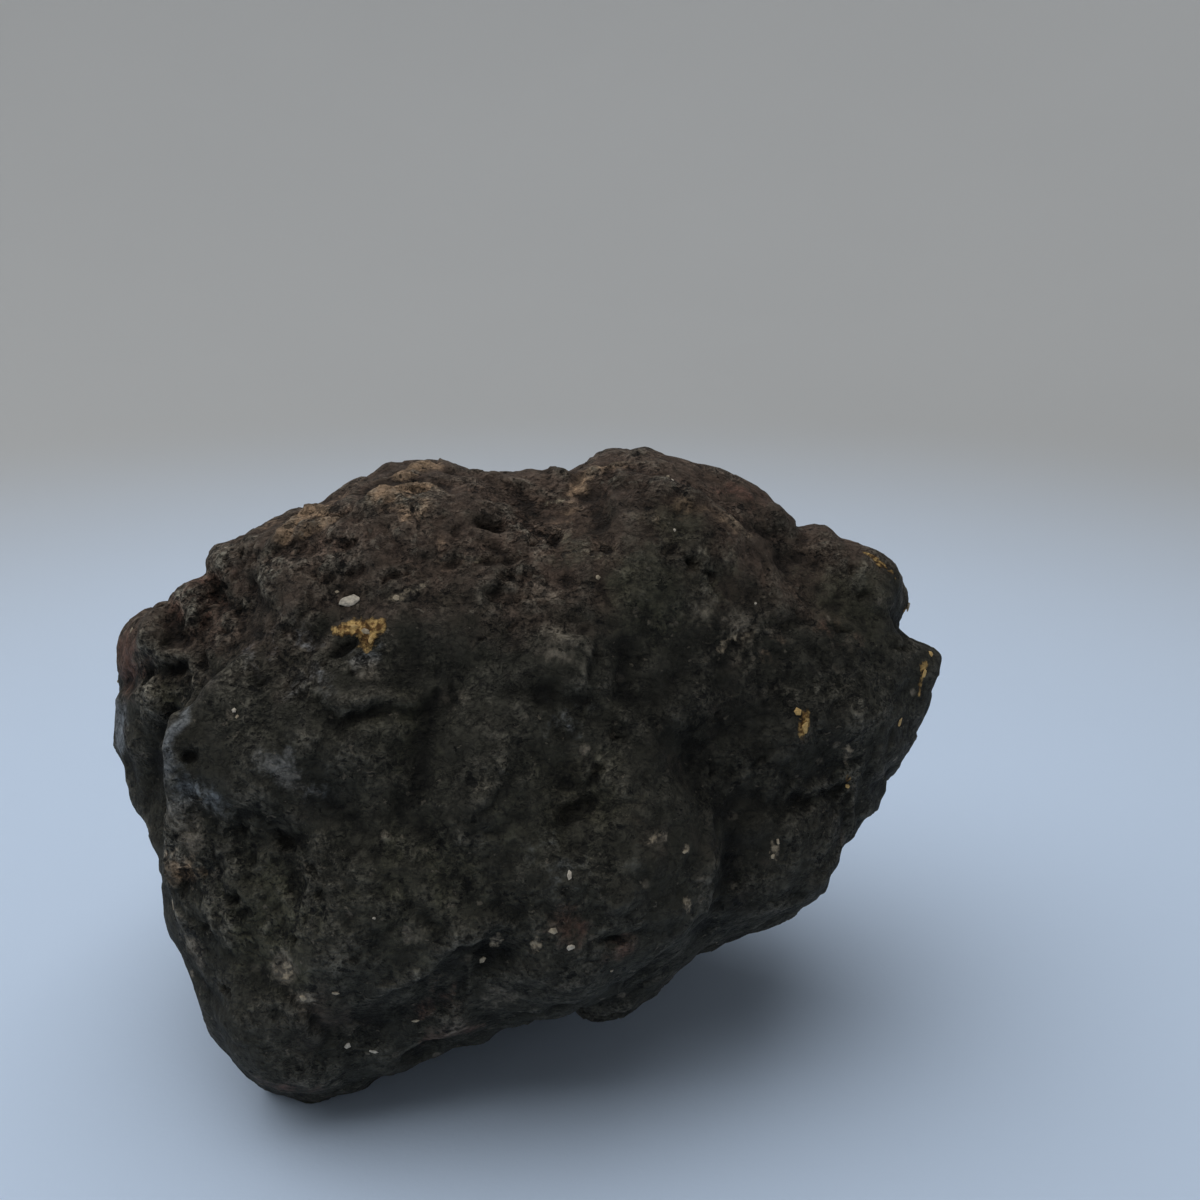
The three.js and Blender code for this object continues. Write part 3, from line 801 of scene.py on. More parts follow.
def work_wrinkles(surface, shape, dice, height, crumble):
    """Short creases and ledges, most of them where the rind is crumbly."""
    for _ in range(shape.wrinkle_count):
        number = dice.randrange(len(surface.points))
        if dice.random() > 0.2 + 0.8 * crumble[number]:
            continue
        path = surface.walk(surface.points[number], dice.uniform(2.0, 8.0), 0.8, 0.4, dice)
        kind = dice.choice(WRINKLE_KINDS)
        rise = dice.uniform(0.2, 0.6) * (0.5 + 0.6 * crumble[number])
        surface.work_line(height, kind, dice.uniform(0.8, 1.6), rise, path)


def work_pits(surface, shape, dice, height, crumble):
    """Small holes in groups, many of them tiny and a few up to a few millimetres wide."""
    points = surface.points
    grouped = grain(points, 5.0, 16) + 0.6 * grain(points, 2.4, 17)
    for _ in range(shape.pit_count):
        number = dice.randrange(len(points))
        chance = (crumble[number] - 0.2) * (0.5 + 0.9 * grouped[number])
        if surface.facing[number][2] < FACES_FRONT and surface.told(points[number]):
            continue
        if dice.random() > chance:
            continue
        wide = min(0.6 * math.exp(abs(dice.gauss(0.0, 0.42))), 1.7)
        tall = wide * dice.uniform(0.35, 0.8)
        turn = dice.uniform(0, 180)
        depth = wide * dice.uniform(0.25, 0.6)
        surface.work_hollow(height, points[number], wide, tall, turn, depth, steep=0.8)


# ---------------------------------------------------------------- where the colours go


def store(mesh, name, values):
    """Keeps a value for each point of a mesh, for its material to read."""
    layer = mesh.attributes.new(name, "FLOAT", "POINT")
    layer.data.foreach_set("value", np.ascontiguousarray(values, dtype=np.float32))


def striped(surface, name):
    """Strength of the stripes of this name, 1 on them and fading to 0 at twice their reach."""
    strength = np.zeros(len(surface.points))
    for reach, amount, corners in FRONT_STRIPES.get(name, ()):
        which, gap, _, fade = surface.near_path(surface.front_path(corners), 2.0 * reach)
        strength[which] = np.maximum(strength[which], amount * fade * np.exp(-3.0 * gap**2))
    return strength


def mark_relief(surface):
    """Marks hollows, for painted shade, and tips, for wear and painted highlight, both the fine and the
    broad ones.
    """
    points, edges, facing = surface.points, surface.edges, surface.facing
    fine = along(points - evened(points, edges, 6), facing) / 0.16
    broad = along(points - evened(points, edges, 60), facing) / 0.9
    hollow = np.clip(-fine, 0.0, 1.0) * 0.6 + np.clip(-broad, 0.0, 1.0) * 0.5
    tip = np.clip(fine, 0.0, 1.0) * 0.5 + np.clip(broad, 0.0, 1.0) * 0.6
    store(surface.mesh, "hollow", hollow)
    store(surface.mesh, "tip", tip)


def mark_colours(surface):
    """Marks where the rind is brown, tinted, crumbly or crusted, some of these marks holding painted
    light.
    """
    mesh, points, facing = surface.mesh, surface.points, surface.facing
    patchy = 0.5 * grain(points, 13.0, 31)
    on_front = smooth_step(-0.1, 0.35, facing[:, 2])
    # Brown comes more on the front's upper part and on upward-facing surfaces: partly weathering, partly
    # painted light on the tops.
    high = smooth_step(5.0, 27.0, points[:, 1] - 0.1 * points[:, 0])
    top = smooth_step(0.1, 0.8, facing @ FRONT_AXES[:, 2])
    before = np.clip(0.06 + 0.7 * high * (0.6 + 0.4 * top) + 0.3 * patchy, 0.0, 1.0)
    behind = np.clip(0.35 + 0.3 * top + 0.9 * patchy, 0.0, 1.0)
    store(mesh, "warm", before * on_front + behind * (1.0 - on_front))

    for seed, (name, share) in enumerate(TINTS.items(), 41):
        strength = share * smooth_step(0.35, 0.8, grain(points, 9.0, seed)) * (1.0 - on_front)
        for right, up, reach, amount in FRONT_TINTS[name]:
            gap = np.linalg.norm(points - surface.place_on_front(right, up), axis=1)
            strength = np.maximum(strength, amount * bell(gap / reach))
        store(mesh, name, np.maximum(strength, striped(surface, name)))

    store(mesh, "crumbly", crumble_of(surface))
    # The ochre crust's strength also holds the painted rim light of the ochre edges.
    for name, crusts in FRONT_CRUSTS.items():
        strength = striped(surface, name)
        for right, up, *oval in crusts:
            centre = surface.place_on_front(right, up)
            strength = np.maximum(strength, surface.oval(centre, *oval))
        store(mesh, name, strength)


# ---------------------------------------------------------------- materials


class Nodes:
    """Short ways to lay out a material's nodes. Sizes are in millimetres."""

    def __init__(self, name):
        self.material = bpy.data.materials.new(name)
        self.material.use_nodes = True
        self.tree = self.material.node_tree
        self.tree.nodes.clear()
        self.place = self.add("ShaderNodeTexCoord").outputs["Object"]

    def add(self, kind, **settings):
        """A new node of this kind with these settings."""
        node = self.tree.nodes.new(kind)
        for key, value in settings.items():
            setattr(node, key, value)
        return node

    def feed(self, socket, value):
        """Links a socket to another one, or sets its value."""
        if isinstance(value, bpy.types.NodeSocket):
            self.tree.links.new(value, socket)
        else:
            socket.default_value = value

    def math(self, operation, first, second=0.0):
        """What an operation makes of two values, each a number or a socket."""
        node = self.add("ShaderNodeMath", operation=operation)
        self.feed(node.inputs[0], first)
        self.feed(node.inputs[1], second)
        return node.outputs[0]

    def plus(self, first, second):
        return self.math("ADD", first, second)

    def minus(self, first, second):
        return self.math("SUBTRACT", first, second)

    def times(self, first, second):
        return self.math("MULTIPLY", first, second)

    def swing(self, value, reach):
        """A value from 0 to 1 made to swing about nothing, reach from end to end."""
        return self.times(self.minus(value, 0.5), reach)

    def folded(self, value):
        """A noise value folded at its middle: 0 along creases, up to 1 between them."""
        return self.math("ABSOLUTE", self.swing(value, 4.0))

    def spread(self, value, low, high, to_low=0.0, to_high=1.0):
        """A value's stretch from low to high, smoothly spread over the stretch from to_low to to_high."""
        node = self.add("ShaderNodeMapRange", interpolation_type="SMOOTHSTEP")
        for name, item in zip(
            ("Value", "From Min", "From Max", "To Min", "To Max"),
            (value, low, high, to_low, to_high),
        ):
            self.feed(node.inputs[name], item)
        return node.outputs["Result"]

    def mix(self, amount, first, second):
        """The first colour where amount is 0, the second where it is 1."""
        node = self.add("ShaderNodeMix", data_type="RGBA")
        colour_inputs = [socket for socket in node.inputs if socket.type == "RGBA"]
        self.feed(node.inputs["Factor"], amount)
        for socket, colour in zip(colour_inputs, (first, second)):
            self.feed(socket, colour)
        return next(socket for socket in node.outputs if socket.type == "RGBA")

    def shade(self, colour, level):
        """The colour made darker or lighter by a level, which may vary over the surface."""
        node = self.add("ShaderNodeVectorMath", operation="SCALE")
        self.feed(node.inputs[0], colour)
        self.feed(node.inputs["Scale"], level)
        return node.outputs[0]

    def attribute(self, name):
        """What the mesh says of this name."""
        return self.add("ShaderNodeAttribute", attribute_name=name).outputs["Fac"]

    def bent(self, size, reach, shift):
        """Places pushed about by noise, so that forms drawn on them are ragged."""
        node = self.textured("ShaderNodeTexNoise", size, self.moved(self.place, shift))
        node.inputs["Detail"].default_value = 2.0
        centred = self.add("ShaderNodeVectorMath", operation="SUBTRACT")
        self.feed(centred.inputs[0], node.outputs["Color"])
        self.feed(centred.inputs[1], (0.5, 0.5, 0.5))
        pushed = self.add("ShaderNodeVectorMath", operation="MULTIPLY_ADD")
        self.feed(pushed.inputs[0], centred.outputs[0])
        self.feed(pushed.inputs[1], (reach * MM,) * 3)
        self.feed(pushed.inputs[2], self.place)
        return pushed.outputs[0]

    def moved(self, place, shift, stretch=(1.0, 1.0, 1.0), turn=(0.0, 0.0, 0.0)):
        """Places shifted, turned and stretched, to read a texture elsewhere."""
        mapping = self.add("ShaderNodeMapping")
        self.feed(mapping.inputs["Location"], (shift, shift * 0.7, shift * -1.3))
        self.feed(mapping.inputs["Rotation"], turn)
        self.feed(mapping.inputs["Scale"], stretch)
        self.feed(mapping.inputs["Vector"], place)
        return mapping.outputs[0]

    def textured(self, kind, size, place):
        """A texture node whose forms are about size across."""
        node = self.add(kind)
        self.feed(node.inputs["Vector"], place)
        self.feed(node.inputs["Scale"], 1.0 / (size * MM))
        return node

    def noise(self, size, detail=4.0, rough=0.55, shift=0.0, place=None, **mapped):
        """Noise whose forms are about this size."""
        place = self.moved(place or self.place, shift, **mapped)
        node = self.textured("ShaderNodeTexNoise", size, place)
        self.feed(node.inputs["Detail"], detail)
        self.feed(node.inputs["Roughness"], rough)
        return node.outputs["Fac"]

    def cells(self, size, shift, place):
        """Cells of about this size: the distance from each one's centre, and its own number."""
        node = self.textured("ShaderNodeTexVoronoi", size, self.moved(place, shift))
        number = self.add("ShaderNodeSeparateColor")
        self.feed(number.inputs[0], node.outputs["Color"])
        return node.outputs["Distance"], number.outputs[0]

    def bump(self, height, depth):
        """The surface's normal with heights from 0 to 1 worked in, depth millimetres from end to end."""
        node = self.add("ShaderNodeBump")
        self.feed(node.inputs["Distance"], depth * MM)
        self.feed(node.inputs["Height"], height)
        return node.outputs[0]

    def finished(self, colour, roughness, normal, specular):
        """The material, with its one shader laid on."""
        shader = self.add("ShaderNodeBsdfPrincipled")
        self.feed(shader.inputs["Base Color"], colour)
        self.feed(shader.inputs["Roughness"], roughness)
        self.feed(shader.inputs["Normal"], normal)
        self.feed(shader.inputs["Specular IOR Level"], specular)
        output = self.add("ShaderNodeOutputMaterial")
        self.feed(output.inputs["Surface"], shader.outputs[0])
        return self.material


def solid(colour):
    """A colour with nothing see-through about it."""
    return tuple(colour) + (1.0,)


def rind_textures(n):
    """The rind's textures by name, from broad patches to its finest specks and holes."""
    ragged = n.bent(1.1, 0.6, 0.4)
    level = dict(place=ragged, stretch=(0.9, 0.9, 1.25), turn=(0.0, 0.12, 0.0))
    slanted = dict(place=ragged, stretch=(0.45, 1.0, 1.5), turn=(0.0, -0.5, 0.0))
    crumbly = n.attribute("crumbly")
    patch = n.noise(4.5, 2.0, 0.5, 7.7)
    broad = n.noise(7.0, 3.0)
    mottle = n.noise(2.6, 5.0, 0.58, 0.3, ragged)
    fine = n.noise(0.8, 4.0, 0.6, 0.7, ragged)
    grit = n.noise(0.42, 3.0, 0.6, 3.1, ragged)

    # How much the texture shows: most where the rind is crumbly.
    uneven = n.plus(n.times(crumbly, 0.9), 0.55)
    uneven = n.times(uneven, n.spread(patch, 0.36, 0.64, 0.45, 1.5))

    # Holes and flecks come in groups.
    porous = n.plus(n.times(crumbly, 0.06), n.swing(patch, 0.16))
    gap, number = n.cells(2.1, 0.5, ragged)
    dab = n.spread(n.plus(gap, n.swing(fine, 0.5)), 0.34, 0.18)
    dab = n.times(dab, n.math("GREATER_THAN", number, 0.92))
    return SimpleNamespace(
        broad=broad,
        mottle=mottle,
        fine=fine,
        grit=grit,
        uneven=uneven,
        streak=n.noise(1.3, 4.0, 0.55, 1.9, **slanted),
        speck=n.noise(0.3, 2.0, 0.5, 1.1),
        crease=n.folded(n.noise(1.9, 4.0, 0.55, 2.7, ragged)),
        crinkle=n.folded(n.noise(2.6, 5.0, 0.62, 6.3, **level)),
        scab=n.spread(fine, 0.34, 0.54),
        crumb=n.spread(grit, 0.32, 0.54),
        pit=n.spread(n.minus(n.noise(2.0, 4.0, 0.62, 4.3, **level), porous), 0.35, 0.32),
        prick=n.spread(n.minus(n.noise(0.9, 3.0, 0.55, 5.9, **level), porous), 0.33, 0.29),
        pore=n.spread(n.minus(grit, porous), 0.3, 0.25),
        fleck=n.spread(n.plus(n.noise(1.1, 4.0, 0.6, 8.3, **level), porous), 0.66, 0.71),
        dab=n.times(dab, n.spread(broad, 0.35, 0.65, 0.2, 0.75)),
    )


def tinted_and_lit(n, colours, textures):
    """The rind's colour: charcoal and brown with ragged patches of its tints, and painted light: lighter
    brown on upper parts, bluish sheen, and highlights on ridges and tips.
    """
    # Brown on upper and upward-facing parts, partly weathering and partly painted light.
    warm = n.plus(n.attribute("warm"), n.swing(textures.broad, 0.7))
    warm = n.plus(warm, n.swing(textures.mottle, 0.7))
    colour = n.mix(n.spread(warm, 0.1, 0.9), solid(colours.charcoal), solid(colours.brown))
    for name, reach in (("olive", 0.85), ("slate", 0.9), ("rust", 0.85), ("pale", 0.75), ("tan", 0.85)):
        strength = n.attribute(name)
        amount = n.plus(strength, n.swing(textures.mottle, 1.5))
        amount = n.plus(amount, n.swing(textures.fine, 0.7))
        amount = n.times(n.spread(amount, 0.2, 0.9), reach)
        amount = n.times(amount, n.spread(strength, 0.02, 0.25))
        colour = n.mix(amount, colour, solid(getattr(colours, name)))
    # Rubbed tips made lighter: partly wear, partly painted highlight.
    tip = n.times(n.attribute("tip"), n.spread(textures.fine, 0.35, 0.7, 0.25, 0.7))
    colour = n.mix(n.times(tip, textures.uneven), colour, solid(colours.worn_and_lit))
    return n.mix(textures.dab, colour, solid(colours.pale))


def mottled_and_shaded(n, colour, colours, textures):
    """The colour with its mottling, and painted shade: darker in creases, holes, hollows and dark
    patches.
    """
    for value, reach in (
        (textures.mottle, 0.95),
        (textures.scab, 0.6),
        (textures.crumb, 0.75),
        (textures.speck, 0.9),
    ):
        swing = n.times(n.swing(value, reach), textures.uneven)
        colour = n.shade(colour, n.plus(swing, 1.0))
    colour = n.shade(colour, n.plus(n.swing(textures.streak, 0.7), 1.0))
    # Painted shade along the creases and in the crinkles' folds.
    colour = n.shade(colour, n.spread(textures.crease, 0.0, 0.3, 0.78, 1.0))
    colour = n.shade(colour, n.spread(textures.crinkle, 0.0, 0.16, 0.6, 1.05))
    colour = n.mix(n.times(textures.fleck, 0.5), colour, solid(colours.pale))
    # Painted shade in the pits, pricks and pores.
    hole = n.math("MAXIMUM", n.math("MAXIMUM", textures.pit, textures.prick), textures.pore)
    colour = n.shade(colour, n.spread(hole, 0.0, 1.0, 1.0, 0.3))
    # Painted shade in hollows: down to 0.42 in the deepest, and 1.34 times brighter where there is no
    # hollow.
    colour = n.shade(colour, n.spread(n.attribute("hollow"), 0.0, 1.0, 1.34, 0.42))
    # Dark patches: painted shade on the front, and random dark tone elsewhere.
    soot = n.times(n.attribute("soot"), n.spread(textures.mottle, 0.3, 0.7, 1.0, 0.7))
    return n.shade(colour, n.spread(soot, 0.0, 1.0, 1.0, 0.5))


def crusted(n, colour, textures, name, thin, thick, most):
    """The colour with a ragged crust over it, and where the crust covers it."""
    strength = n.attribute(name)
    edge = n.plus(strength, n.swing(textures.fine, 1.6))
    edge = n.plus(edge, n.swing(textures.mottle, 0.9))
    cover = n.times(n.spread(edge, 0.5, 0.75), n.spread(strength, 0.05, 0.35))
    film = n.mix(n.spread(textures.fine, 0.42, 0.62), solid(thin), solid(thick))
    film = n.shade(film, n.spread(textures.grit, 0.3, 0.7, 0.7, 1.15))
    film = n.shade(film, n.spread(edge, 0.55, 1.2, 0.35, 1.0))
    return n.mix(n.times(cover, most), colour, film), cover


def rind_material(colours):
    """The rind, worn by weather: mottled charcoal and brown, tinted, pitted, with mineral crusts, and
    with painted shade and painted highlights in its colour.
    """
    n = Nodes("weathered_rind")
    textures = rind_textures(n)
    colour = mottled_and_shaded(n, tinted_and_lit(n, colours, textures), colours, textures)
    # The ochre crust also lays the painted rim light along the right edges.
    colour, ochre = crusted(n, colour, textures, "ochre", colours.amber, colours.ochre, 0.95)
    colour, cream = crusted(n, colour, textures, "cream", colours.pale, colours.cream, 0.7)

    # What stands up from the rind or sinks into it, in millimetres.
    uneven = textures.uneven
    height = n.times(n.swing(textures.mottle, 0.55), uneven)
    for value, rise in (
        (n.times(textures.scab, uneven), 0.16),
        (n.times(n.spread(textures.crease, 0.0, 0.4, -1.0, 0.0), uneven), 0.1),
        (n.times(n.spread(textures.crinkle, 0.0, 0.3, -1.0, 0.0), uneven), 0.22),
        (n.swing(textures.streak, 0.2), 1.0),
        (n.times(textures.crumb, uneven), 0.12),
        (n.times(textures.speck, uneven), 0.1),
        (textures.pit, -0.5),
        (textures.prick, -0.3),
        (textures.pore, -0.1),
        (textures.fleck, 0.06),
        (textures.dab, 0.06),
        (ochre, 0.14),
        (cream, 0.1),
    ):
        height = n.plus(height, n.times(value, rise))
    roughness = n.spread(textures.mottle, 0.3, 0.7, 0.95, 0.7)
    return n.finished(colour, roughness, n.bump(height, 1.0), specular=0.22)


def chip_material(name, colour):
    """A hard mineral, a little glossier than the rind."""
    n = Nodes(name)
    shade = n.shade(colour, n.spread(n.noise(0.35, 3.0, 0.6), 0.3, 0.7, 0.6, 1.05))
    roughness = n.spread(n.noise(0.5), 0.3, 0.7, 0.4, 0.7)
    return n.finished(shade, roughness, n.bump(n.noise(0.2, 3.0), 0.08), specular=0.4)


def paper_material(stage):
    """Pale paper, bluer near the stone, and greyer and darker away from it as painted shade of the light
    falling off.
    """
    n = Nodes("pale_paper")
    gap = n.add("ShaderNodeVectorMath", operation="LENGTH")
    n.feed(gap.inputs[0], n.place)
    # Painted shade: the paper darkens and greys away from the stone.
    away = n.spread(gap.outputs["Value"], 0.08, 0.45)
    shade = n.mix(away, solid(stage.paper), solid(stage.far_paper_shaded))
    shade = n.shade(shade, n.spread(n.noise(160.0, 2.0), 0.3, 0.7, 0.985, 1.0))
    return n.finished(shade, 0.9, n.bump(n.noise(0.8, 4.0), 0.02), specular=0.2)


# ---------------------------------------------------------------- settings


def length_setting(name, text, value, least=0.0):
    """A size in millimetres."""
    return bpy.props.FloatProperty(
        name=name, description=text + ", in millimetres", default=value, min=least)


def count_setting(name, text, value):
    return bpy.props.IntProperty(name=name, description=text, default=value, min=0)


def colour_setting(name, text, value):
    return bpy.props.FloatVectorProperty(
        name=name, description=text, subtype="COLOR", size=3, min=0.0, max=1.0, default=value)


def power_setting(name, text, value):
    return bpy.props.FloatProperty(
        name=name, description=text, subtype="POWER", unit="POWER", min=0.0, default=value)


class StoneShape(bpy.types.PropertyGroup):
    lump_height: length_setting("Lump height", "Height of the rounded lumps", 0.9)
    wrinkle_height: length_setting("Wrinkle height", "Height of the fine folds", 0.24)
    flake_height: length_setting("Flake height", "Height of the small flat chips", 0.3)
    crease_count: count_setting("Creases", "Number of larger creases and hollows all round", 150)
    wrinkle_count: count_setting("Wrinkles", "Number of fine creases", 900)
    pit_count: count_setting("Pits", "Number of places tried for a pit", 9000)
    mesh_size: length_setting("Mesh size", "Size of the skin's faces", 0.63, least=0.4)
    seed: bpy.props.IntProperty(name="Seed", description="Changes the made-up forms", default=7)


class StoneColours(bpy.types.PropertyGroup):
    charcoal: colour_setting("Charcoal", "Colour of most of the rind", (0.0179, 0.0170, 0.0124))
    # Brown lies on the upper parts, partly as painted light.
    brown: colour_setting("Brown", "Colour of its warmer parts", (0.0580, 0.0385, 0.0280))
    olive: colour_setting("Olive", "Colour of its greenish parts", (0.036, 0.034, 0.021))
    # Slate also paints sheen on the fin and the left edge.
    slate: colour_setting("Slate", "Colour of its bluish parts and painted sheen", (0.118, 0.128, 0.136))
    rust: colour_setting("Rust", "Colour of its reddish parts", (0.080, 0.039, 0.027))
    # Tan also paints highlights on the terraces' edges.
    tan: colour_setting("Tan", "Colour of the sandy ridges and their painted highlights", (0.240, 0.160, 0.098))
    # Worn tips are lighter partly as painted highlight.
    worn_and_lit: colour_setting("Worn and lit tips", "Colour of rubbed tips, lighter as painted highlight", (0.078, 0.071, 0.056))
    pale: colour_setting("Pale", "Colour of its dull pale patches and dabs", (0.150, 0.128, 0.098))
    # Ochre also paints the rim light along the right edge.
    ochre: colour_setting("Ochre", "Colour of the ochre crusts", (0.66, 0.43, 0.16))
    amber: colour_setting("Amber", "Colour of the ochre crusts where thin", (0.24, 0.12, 0.035))
    cream: colour_setting("Cream", "Colour of the pale crusts and chips", (0.44, 0.36, 0.25))
    chalk: colour_setting("Chalk", "Colour of the whitest chips", (0.60, 0.53, 0.43))


class GrainSettings(bpy.types.PropertyGroup):
    count: count_setting("Grains", "Number of places tried for a small chip away from the front", 110)
    seed: bpy.props.IntProperty(name="Seed", description="Changes the chips", default=3)


class StageSettings(bpy.types.PropertyGroup):
    paper: colour_setting("Paper", "Colour of the paper round the stone", (0.65, 0.775, 0.955))
    # The far paper is darker and greyer as painted shade of the light falling off.
    far_paper_shaded: colour_setting("Far paper", "Colour of its turned-up rim, darker as painted shade", (0.47, 0.475, 0.475))
    window_power: power_setting("Window light", "Power of the soft light from above", 24.8)
    fill_power: power_setting("Fill light", "Power of the weak light from the front", 0.05)


# ---------------------------------------------------------------- the pieces


def placed(name, made):
    """A new object of this mesh, lamp or camera, in the scene."""
    piece = bpy.data.objects.new(name, made)
    bpy.context.collection.objects.link(piece)
    return piece


class GEODE_OT_stone(bpy.types.Operator):
    """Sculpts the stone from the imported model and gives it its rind"""

    bl_idname = "whole_geode.stone"
    bl_label = "Stone"

    def execute(self, context):
        shape = context.scene.geode_shape
        dice = random.Random(shape.seed)
        noise.seed_set(NOISE_SEED)
        rough = Surface(blank("geode_stone"), calm=12)
        rough.raise_by(forms(rough, shape, dice))
        rough.write()
        mesh = remeshed(rough.mesh, shape.mesh_size)
        mesh.name = "geode_stone"
        surface = Surface(mesh, calm=3)
        surface.raise_by(rind(surface, shape, dice))
        surface.blunt(SPIKE_HEIGHT)
        surface.settle()
        surface.read(calm=1)
        if triangles(mesh) > MOST_TRIANGLES:
            raise RuntimeError("The stone has too many faces: raise the mesh size.")
        mark_relief(surface)
        mark_colours(surface)
        mesh.polygons.foreach_set("use_smooth", [True] * len(mesh.polygons))
        mesh.materials.append(rind_material(context.scene.geode_colours))
        stone = placed("geode_stone", mesh)
        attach(stone, "root")
        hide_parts(NODE)
        return {"FINISHED"}


class GEODE_OT_grains(bpy.types.Operator):
    """Sets small mineral chips into the stone's skin"""

    bl_idname = "whole_geode.grains"
    bl_label = "Mineral grains"

    def execute(self, context):
        settings = context.scene.geode_grains
        dice = random.Random(settings.seed)
        surface = Surface(bpy.data.objects["geode_stone"].data, calm=0)
        chips = bmesh.new()
        for kind, right, up, across, tall, turn in FRONT_CHIPS:
            centre = surface.place_on_front(right, up)
            out = surface.facing[surface.nearest(centre)]
            thick = 0.38 * min(across, tall)
            self.chip(chips, centre, out, (across, tall, thick), turn, kind, dice)
        lowest, least_facing, largest = 3.0 * MM, 0.2, 0.45
        for _ in range(settings.count):
            number = dice.randrange(len(surface.points))
            centre, out = surface.points[number], surface.facing[number]
            if from_front(centre)[2] < lowest or out[2] > least_facing:
                continue
            size = min(0.13 * math.exp(abs(dice.gauss(0.0, 0.5))), largest)
            sizes = [size * dice.uniform(0.7, 1.4) for _ in range(3)]
            kind = "cream" if dice.random() < 0.85 else "ochre"
            self.chip(chips, centre, out, sizes, dice.uniform(0, 180), kind, dice)
        mesh = bpy.data.meshes.new("geode_grains")
        chips.to_mesh(mesh)
        chips.free()
        mesh.vertices.foreach_set("co", from_front(mesh_places(mesh)).ravel())
        mesh.update()
        colours = context.scene.geode_colours
        for name in CHIP_KINDS:
            mesh.materials.append(chip_material(name + "_mineral", getattr(colours, name)))
        grains = placed("geode_grains", mesh)
        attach(grains, "root")
        return {"FINISHED"}

    def chip(self, chips, centre, out, sizes, turn, kind, dice):
        """An angular chip set into the skin, of these half sizes across, up and out of it."""
        first, second = turned_axes(out, turn)
        layers = ((-1.0, 0.8), (0.35, 1.0), (1.0, 0.62))
        sides = 5
        corners = []
        for layer, share in layers:
            start = dice.uniform(0.0, 1.0)
            for number in range(sides):
                around = 2 * math.pi * (number + start + dice.uniform(-0.3, 0.3)) / sides
                reach = share * dice.uniform(0.75, 1.15)
                across = first * reach * math.cos(around) * sizes[0]
                tall = second * reach * math.sin(around) * sizes[1]
                thick = out * (layer + dice.uniform(-0.15, 0.15)) * sizes[2]
                corners.append(chips.verts.new(centre + across + tall + thick))
        made = bmesh.ops.convex_hull(chips, input=corners)
        for part in made["geom"]:
            if isinstance(part, bmesh.types.BMFace):
                part.material_index = CHIP_KINDS.index(kind)
        inner = {part for part in made["geom_interior"] if isinstance(part, bmesh.types.BMVert)}
        bmesh.ops.delete(chips, geom=list(inner), context="VERTS")


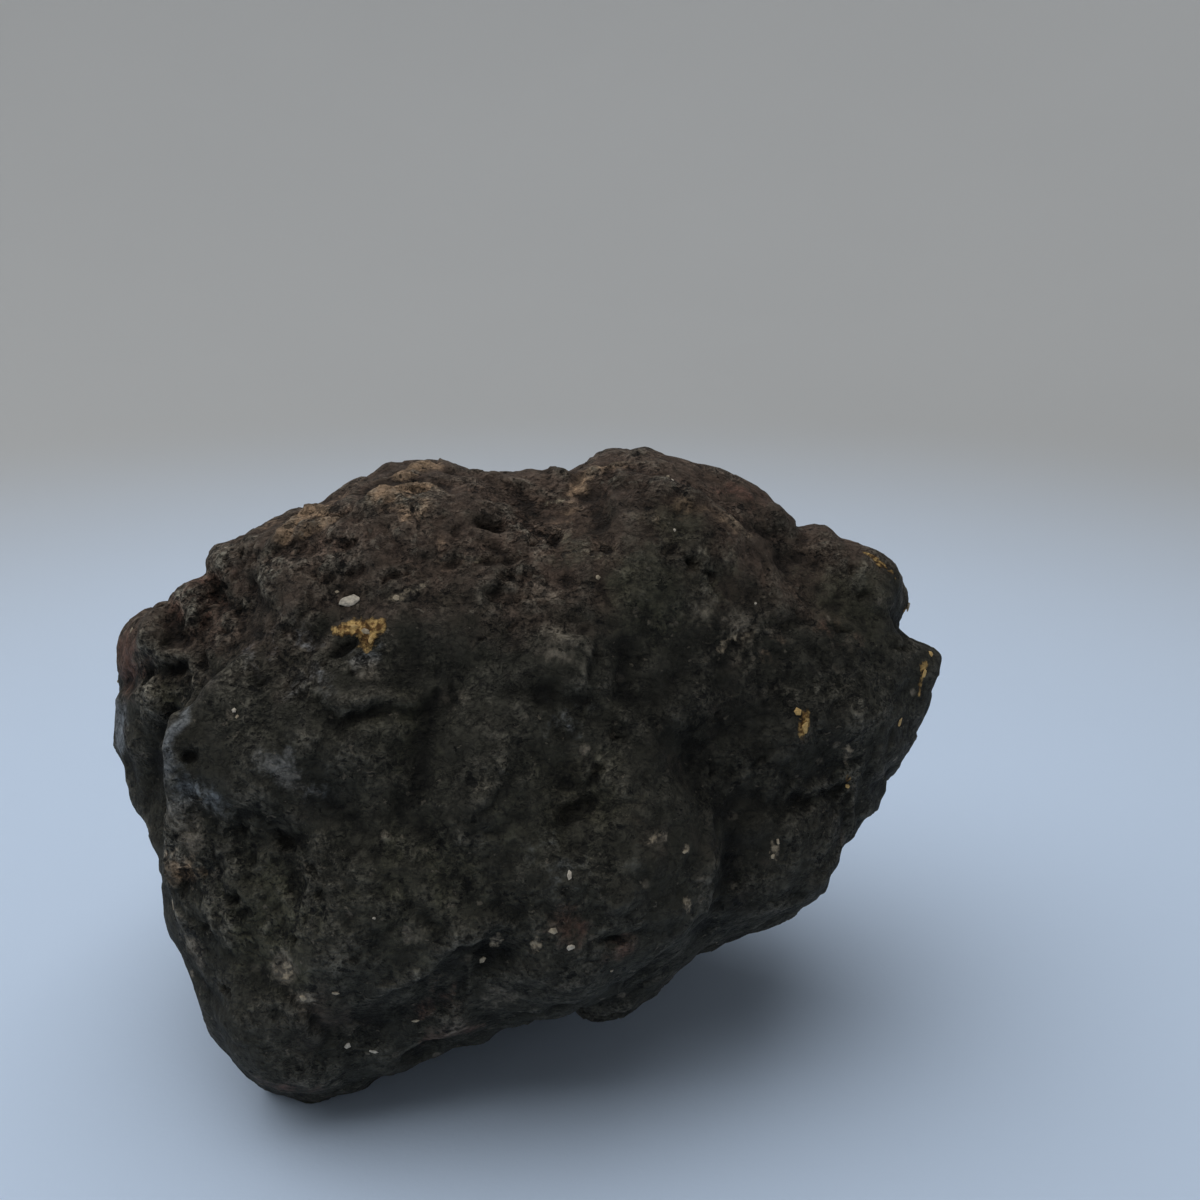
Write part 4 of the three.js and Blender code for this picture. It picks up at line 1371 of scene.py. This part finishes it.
class GEODE_OT_stage(bpy.types.Operator):
    """Lays the paper, and sets up the lights and the camera"""

    bl_idname = "whole_geode.stage"
    bl_label = "Paper, lights and camera"

    def execute(self, context):
        settings = context.scene.geode_stage
        self.paper(settings)
        self.lights(context, settings)
        self.camera(context)
        return {"FINISHED"}

    def paper(self, settings):
        """A round sheet that lies flat and turns up at its rim, far from the stone."""
        flat, bend, wall, steps = 0.42, 0.6, 0.25, 16
        steepest = math.radians(70.0)
        profile = [(0.0, 0.0), (flat, 0.0)]
        for step in range(1, steps + 1):
            angle = steepest * step / steps
            profile.append((flat + bend * math.sin(angle), bend * (1.0 - math.cos(angle))))
        out, up = profile[-1]
        profile.append((out + wall * math.cos(steepest), up + wall * math.sin(steepest)))
        sheet = bmesh.new()
        rim = [sheet.verts.new((out, 0.0, up)) for out, up in profile]
        edges = [sheet.edges.new(pair) for pair in zip(rim, rim[1:])]
        bmesh.ops.spin(
            sheet, geom=edges + rim, cent=(0, 0, 0), axis=(0, 0, 1), dvec=(0, 0, 0),
            angle=2 * math.pi, steps=96, use_merge=True, use_duplicate=False,
        )
        bmesh.ops.remove_doubles(sheet, verts=sheet.verts, dist=1e-6)
        bmesh.ops.recalc_face_normals(sheet, faces=sheet.faces)
        mesh = bpy.data.meshes.new("paper")
        sheet.to_mesh(mesh)
        sheet.free()
        mesh.polygons.foreach_set("use_smooth", [True] * len(mesh.polygons))
        mesh.materials.append(paper_material(settings))
        placed("paper", mesh)

    def lights(self, context, settings):
        """A wide soft window over the stone, a weak fill before it and a faint glow all round."""
        aim = Vector((0, 0, 0.03))
        for name, power, size, place, colour in (
            ("window_light", settings.window_power, 2.4, (-0.4, 0.1, 1.4), (0.97, 0.985, 1.0)),
            ("fill_light", settings.fill_power, 0.8, (0.35, -1.0, 0.75), (1.0, 0.98, 0.95)),
        ):
            lamp = bpy.data.lights.new(name, "AREA")
            lamp.energy = power
            lamp.size = size
            lamp.color = colour
            light = placed(name, lamp)
            light.location = place
            light.rotation_euler = (aim - Vector(place)).to_track_quat("-Z", "Y").to_euler()
        world = bpy.data.worlds.new("soft_room")
        world.use_nodes = True
        background = world.node_tree.nodes["Background"]
        background.inputs["Color"].default_value = (0.9, 0.95, 1.0, 1.0)
        background.inputs["Strength"].default_value = 0.06
        context.scene.world = world
        context.scene.view_settings.view_transform = "Standard"

    def camera(self, context):
        """The camera, which looks a little down at the front of the stone."""
        lens = bpy.data.cameras.new("camera")
        lens.lens = 45.0
        lens.sensor_width = 36.0
        lens.clip_start = 0.01
        camera = placed("camera", lens)
        camera.location = Vector(HEART + FRONT_AXES[2] * CAMERA_DISTANCE)
        camera.rotation_euler = (math.pi / 2 - CAMERA_DOWN, 0.0, CAMERA_ASIDE)
        context.scene.camera = camera


class VIEW3D_PT_whole_geode(bpy.types.Panel):
    """Lists the geode's settings and the steps that make it"""

    bl_label = "Whole geode"
    bl_space_type = "VIEW_3D"
    bl_region_type = "UI"
    bl_category = "Geode"

    def draw(self, context):
        for operator, group in (
            (GEODE_OT_stone, "geode_shape"),
            (None, "geode_colours"),
            (GEODE_OT_grains, "geode_grains"),
            (GEODE_OT_stage, "geode_stage"),
        ):
            box = self.layout.box()
            settings = getattr(context.scene, group)
            for name in settings.__annotations__:
                box.prop(settings, name)
            if operator:
                box.operator(operator.bl_idname)


GROUPS = {
    "geode_shape": StoneShape,
    "geode_colours": StoneColours,
    "geode_grains": GrainSettings,
    "geode_stage": StageSettings,
}
CLASSES = (GEODE_OT_stone, GEODE_OT_grains, GEODE_OT_stage, VIEW3D_PT_whole_geode)


def register():
    for name, group in GROUPS.items():
        bpy.utils.register_class(group)
        setattr(bpy.types.Scene, name, bpy.props.PointerProperty(type=group))
    for item in CLASSES:
        bpy.utils.register_class(item)


def unregister():
    for item in reversed(CLASSES):
        bpy.utils.unregister_class(item)
    for name, group in reversed(GROUPS.items()):
        delattr(bpy.types.Scene, name)
        bpy.utils.unregister_class(group)


def main():
    register()
    bpy.ops.whole_geode.stone()
    bpy.ops.whole_geode.grains()
    bpy.ops.whole_geode.stage()


if __name__ == "__main__":
    main()
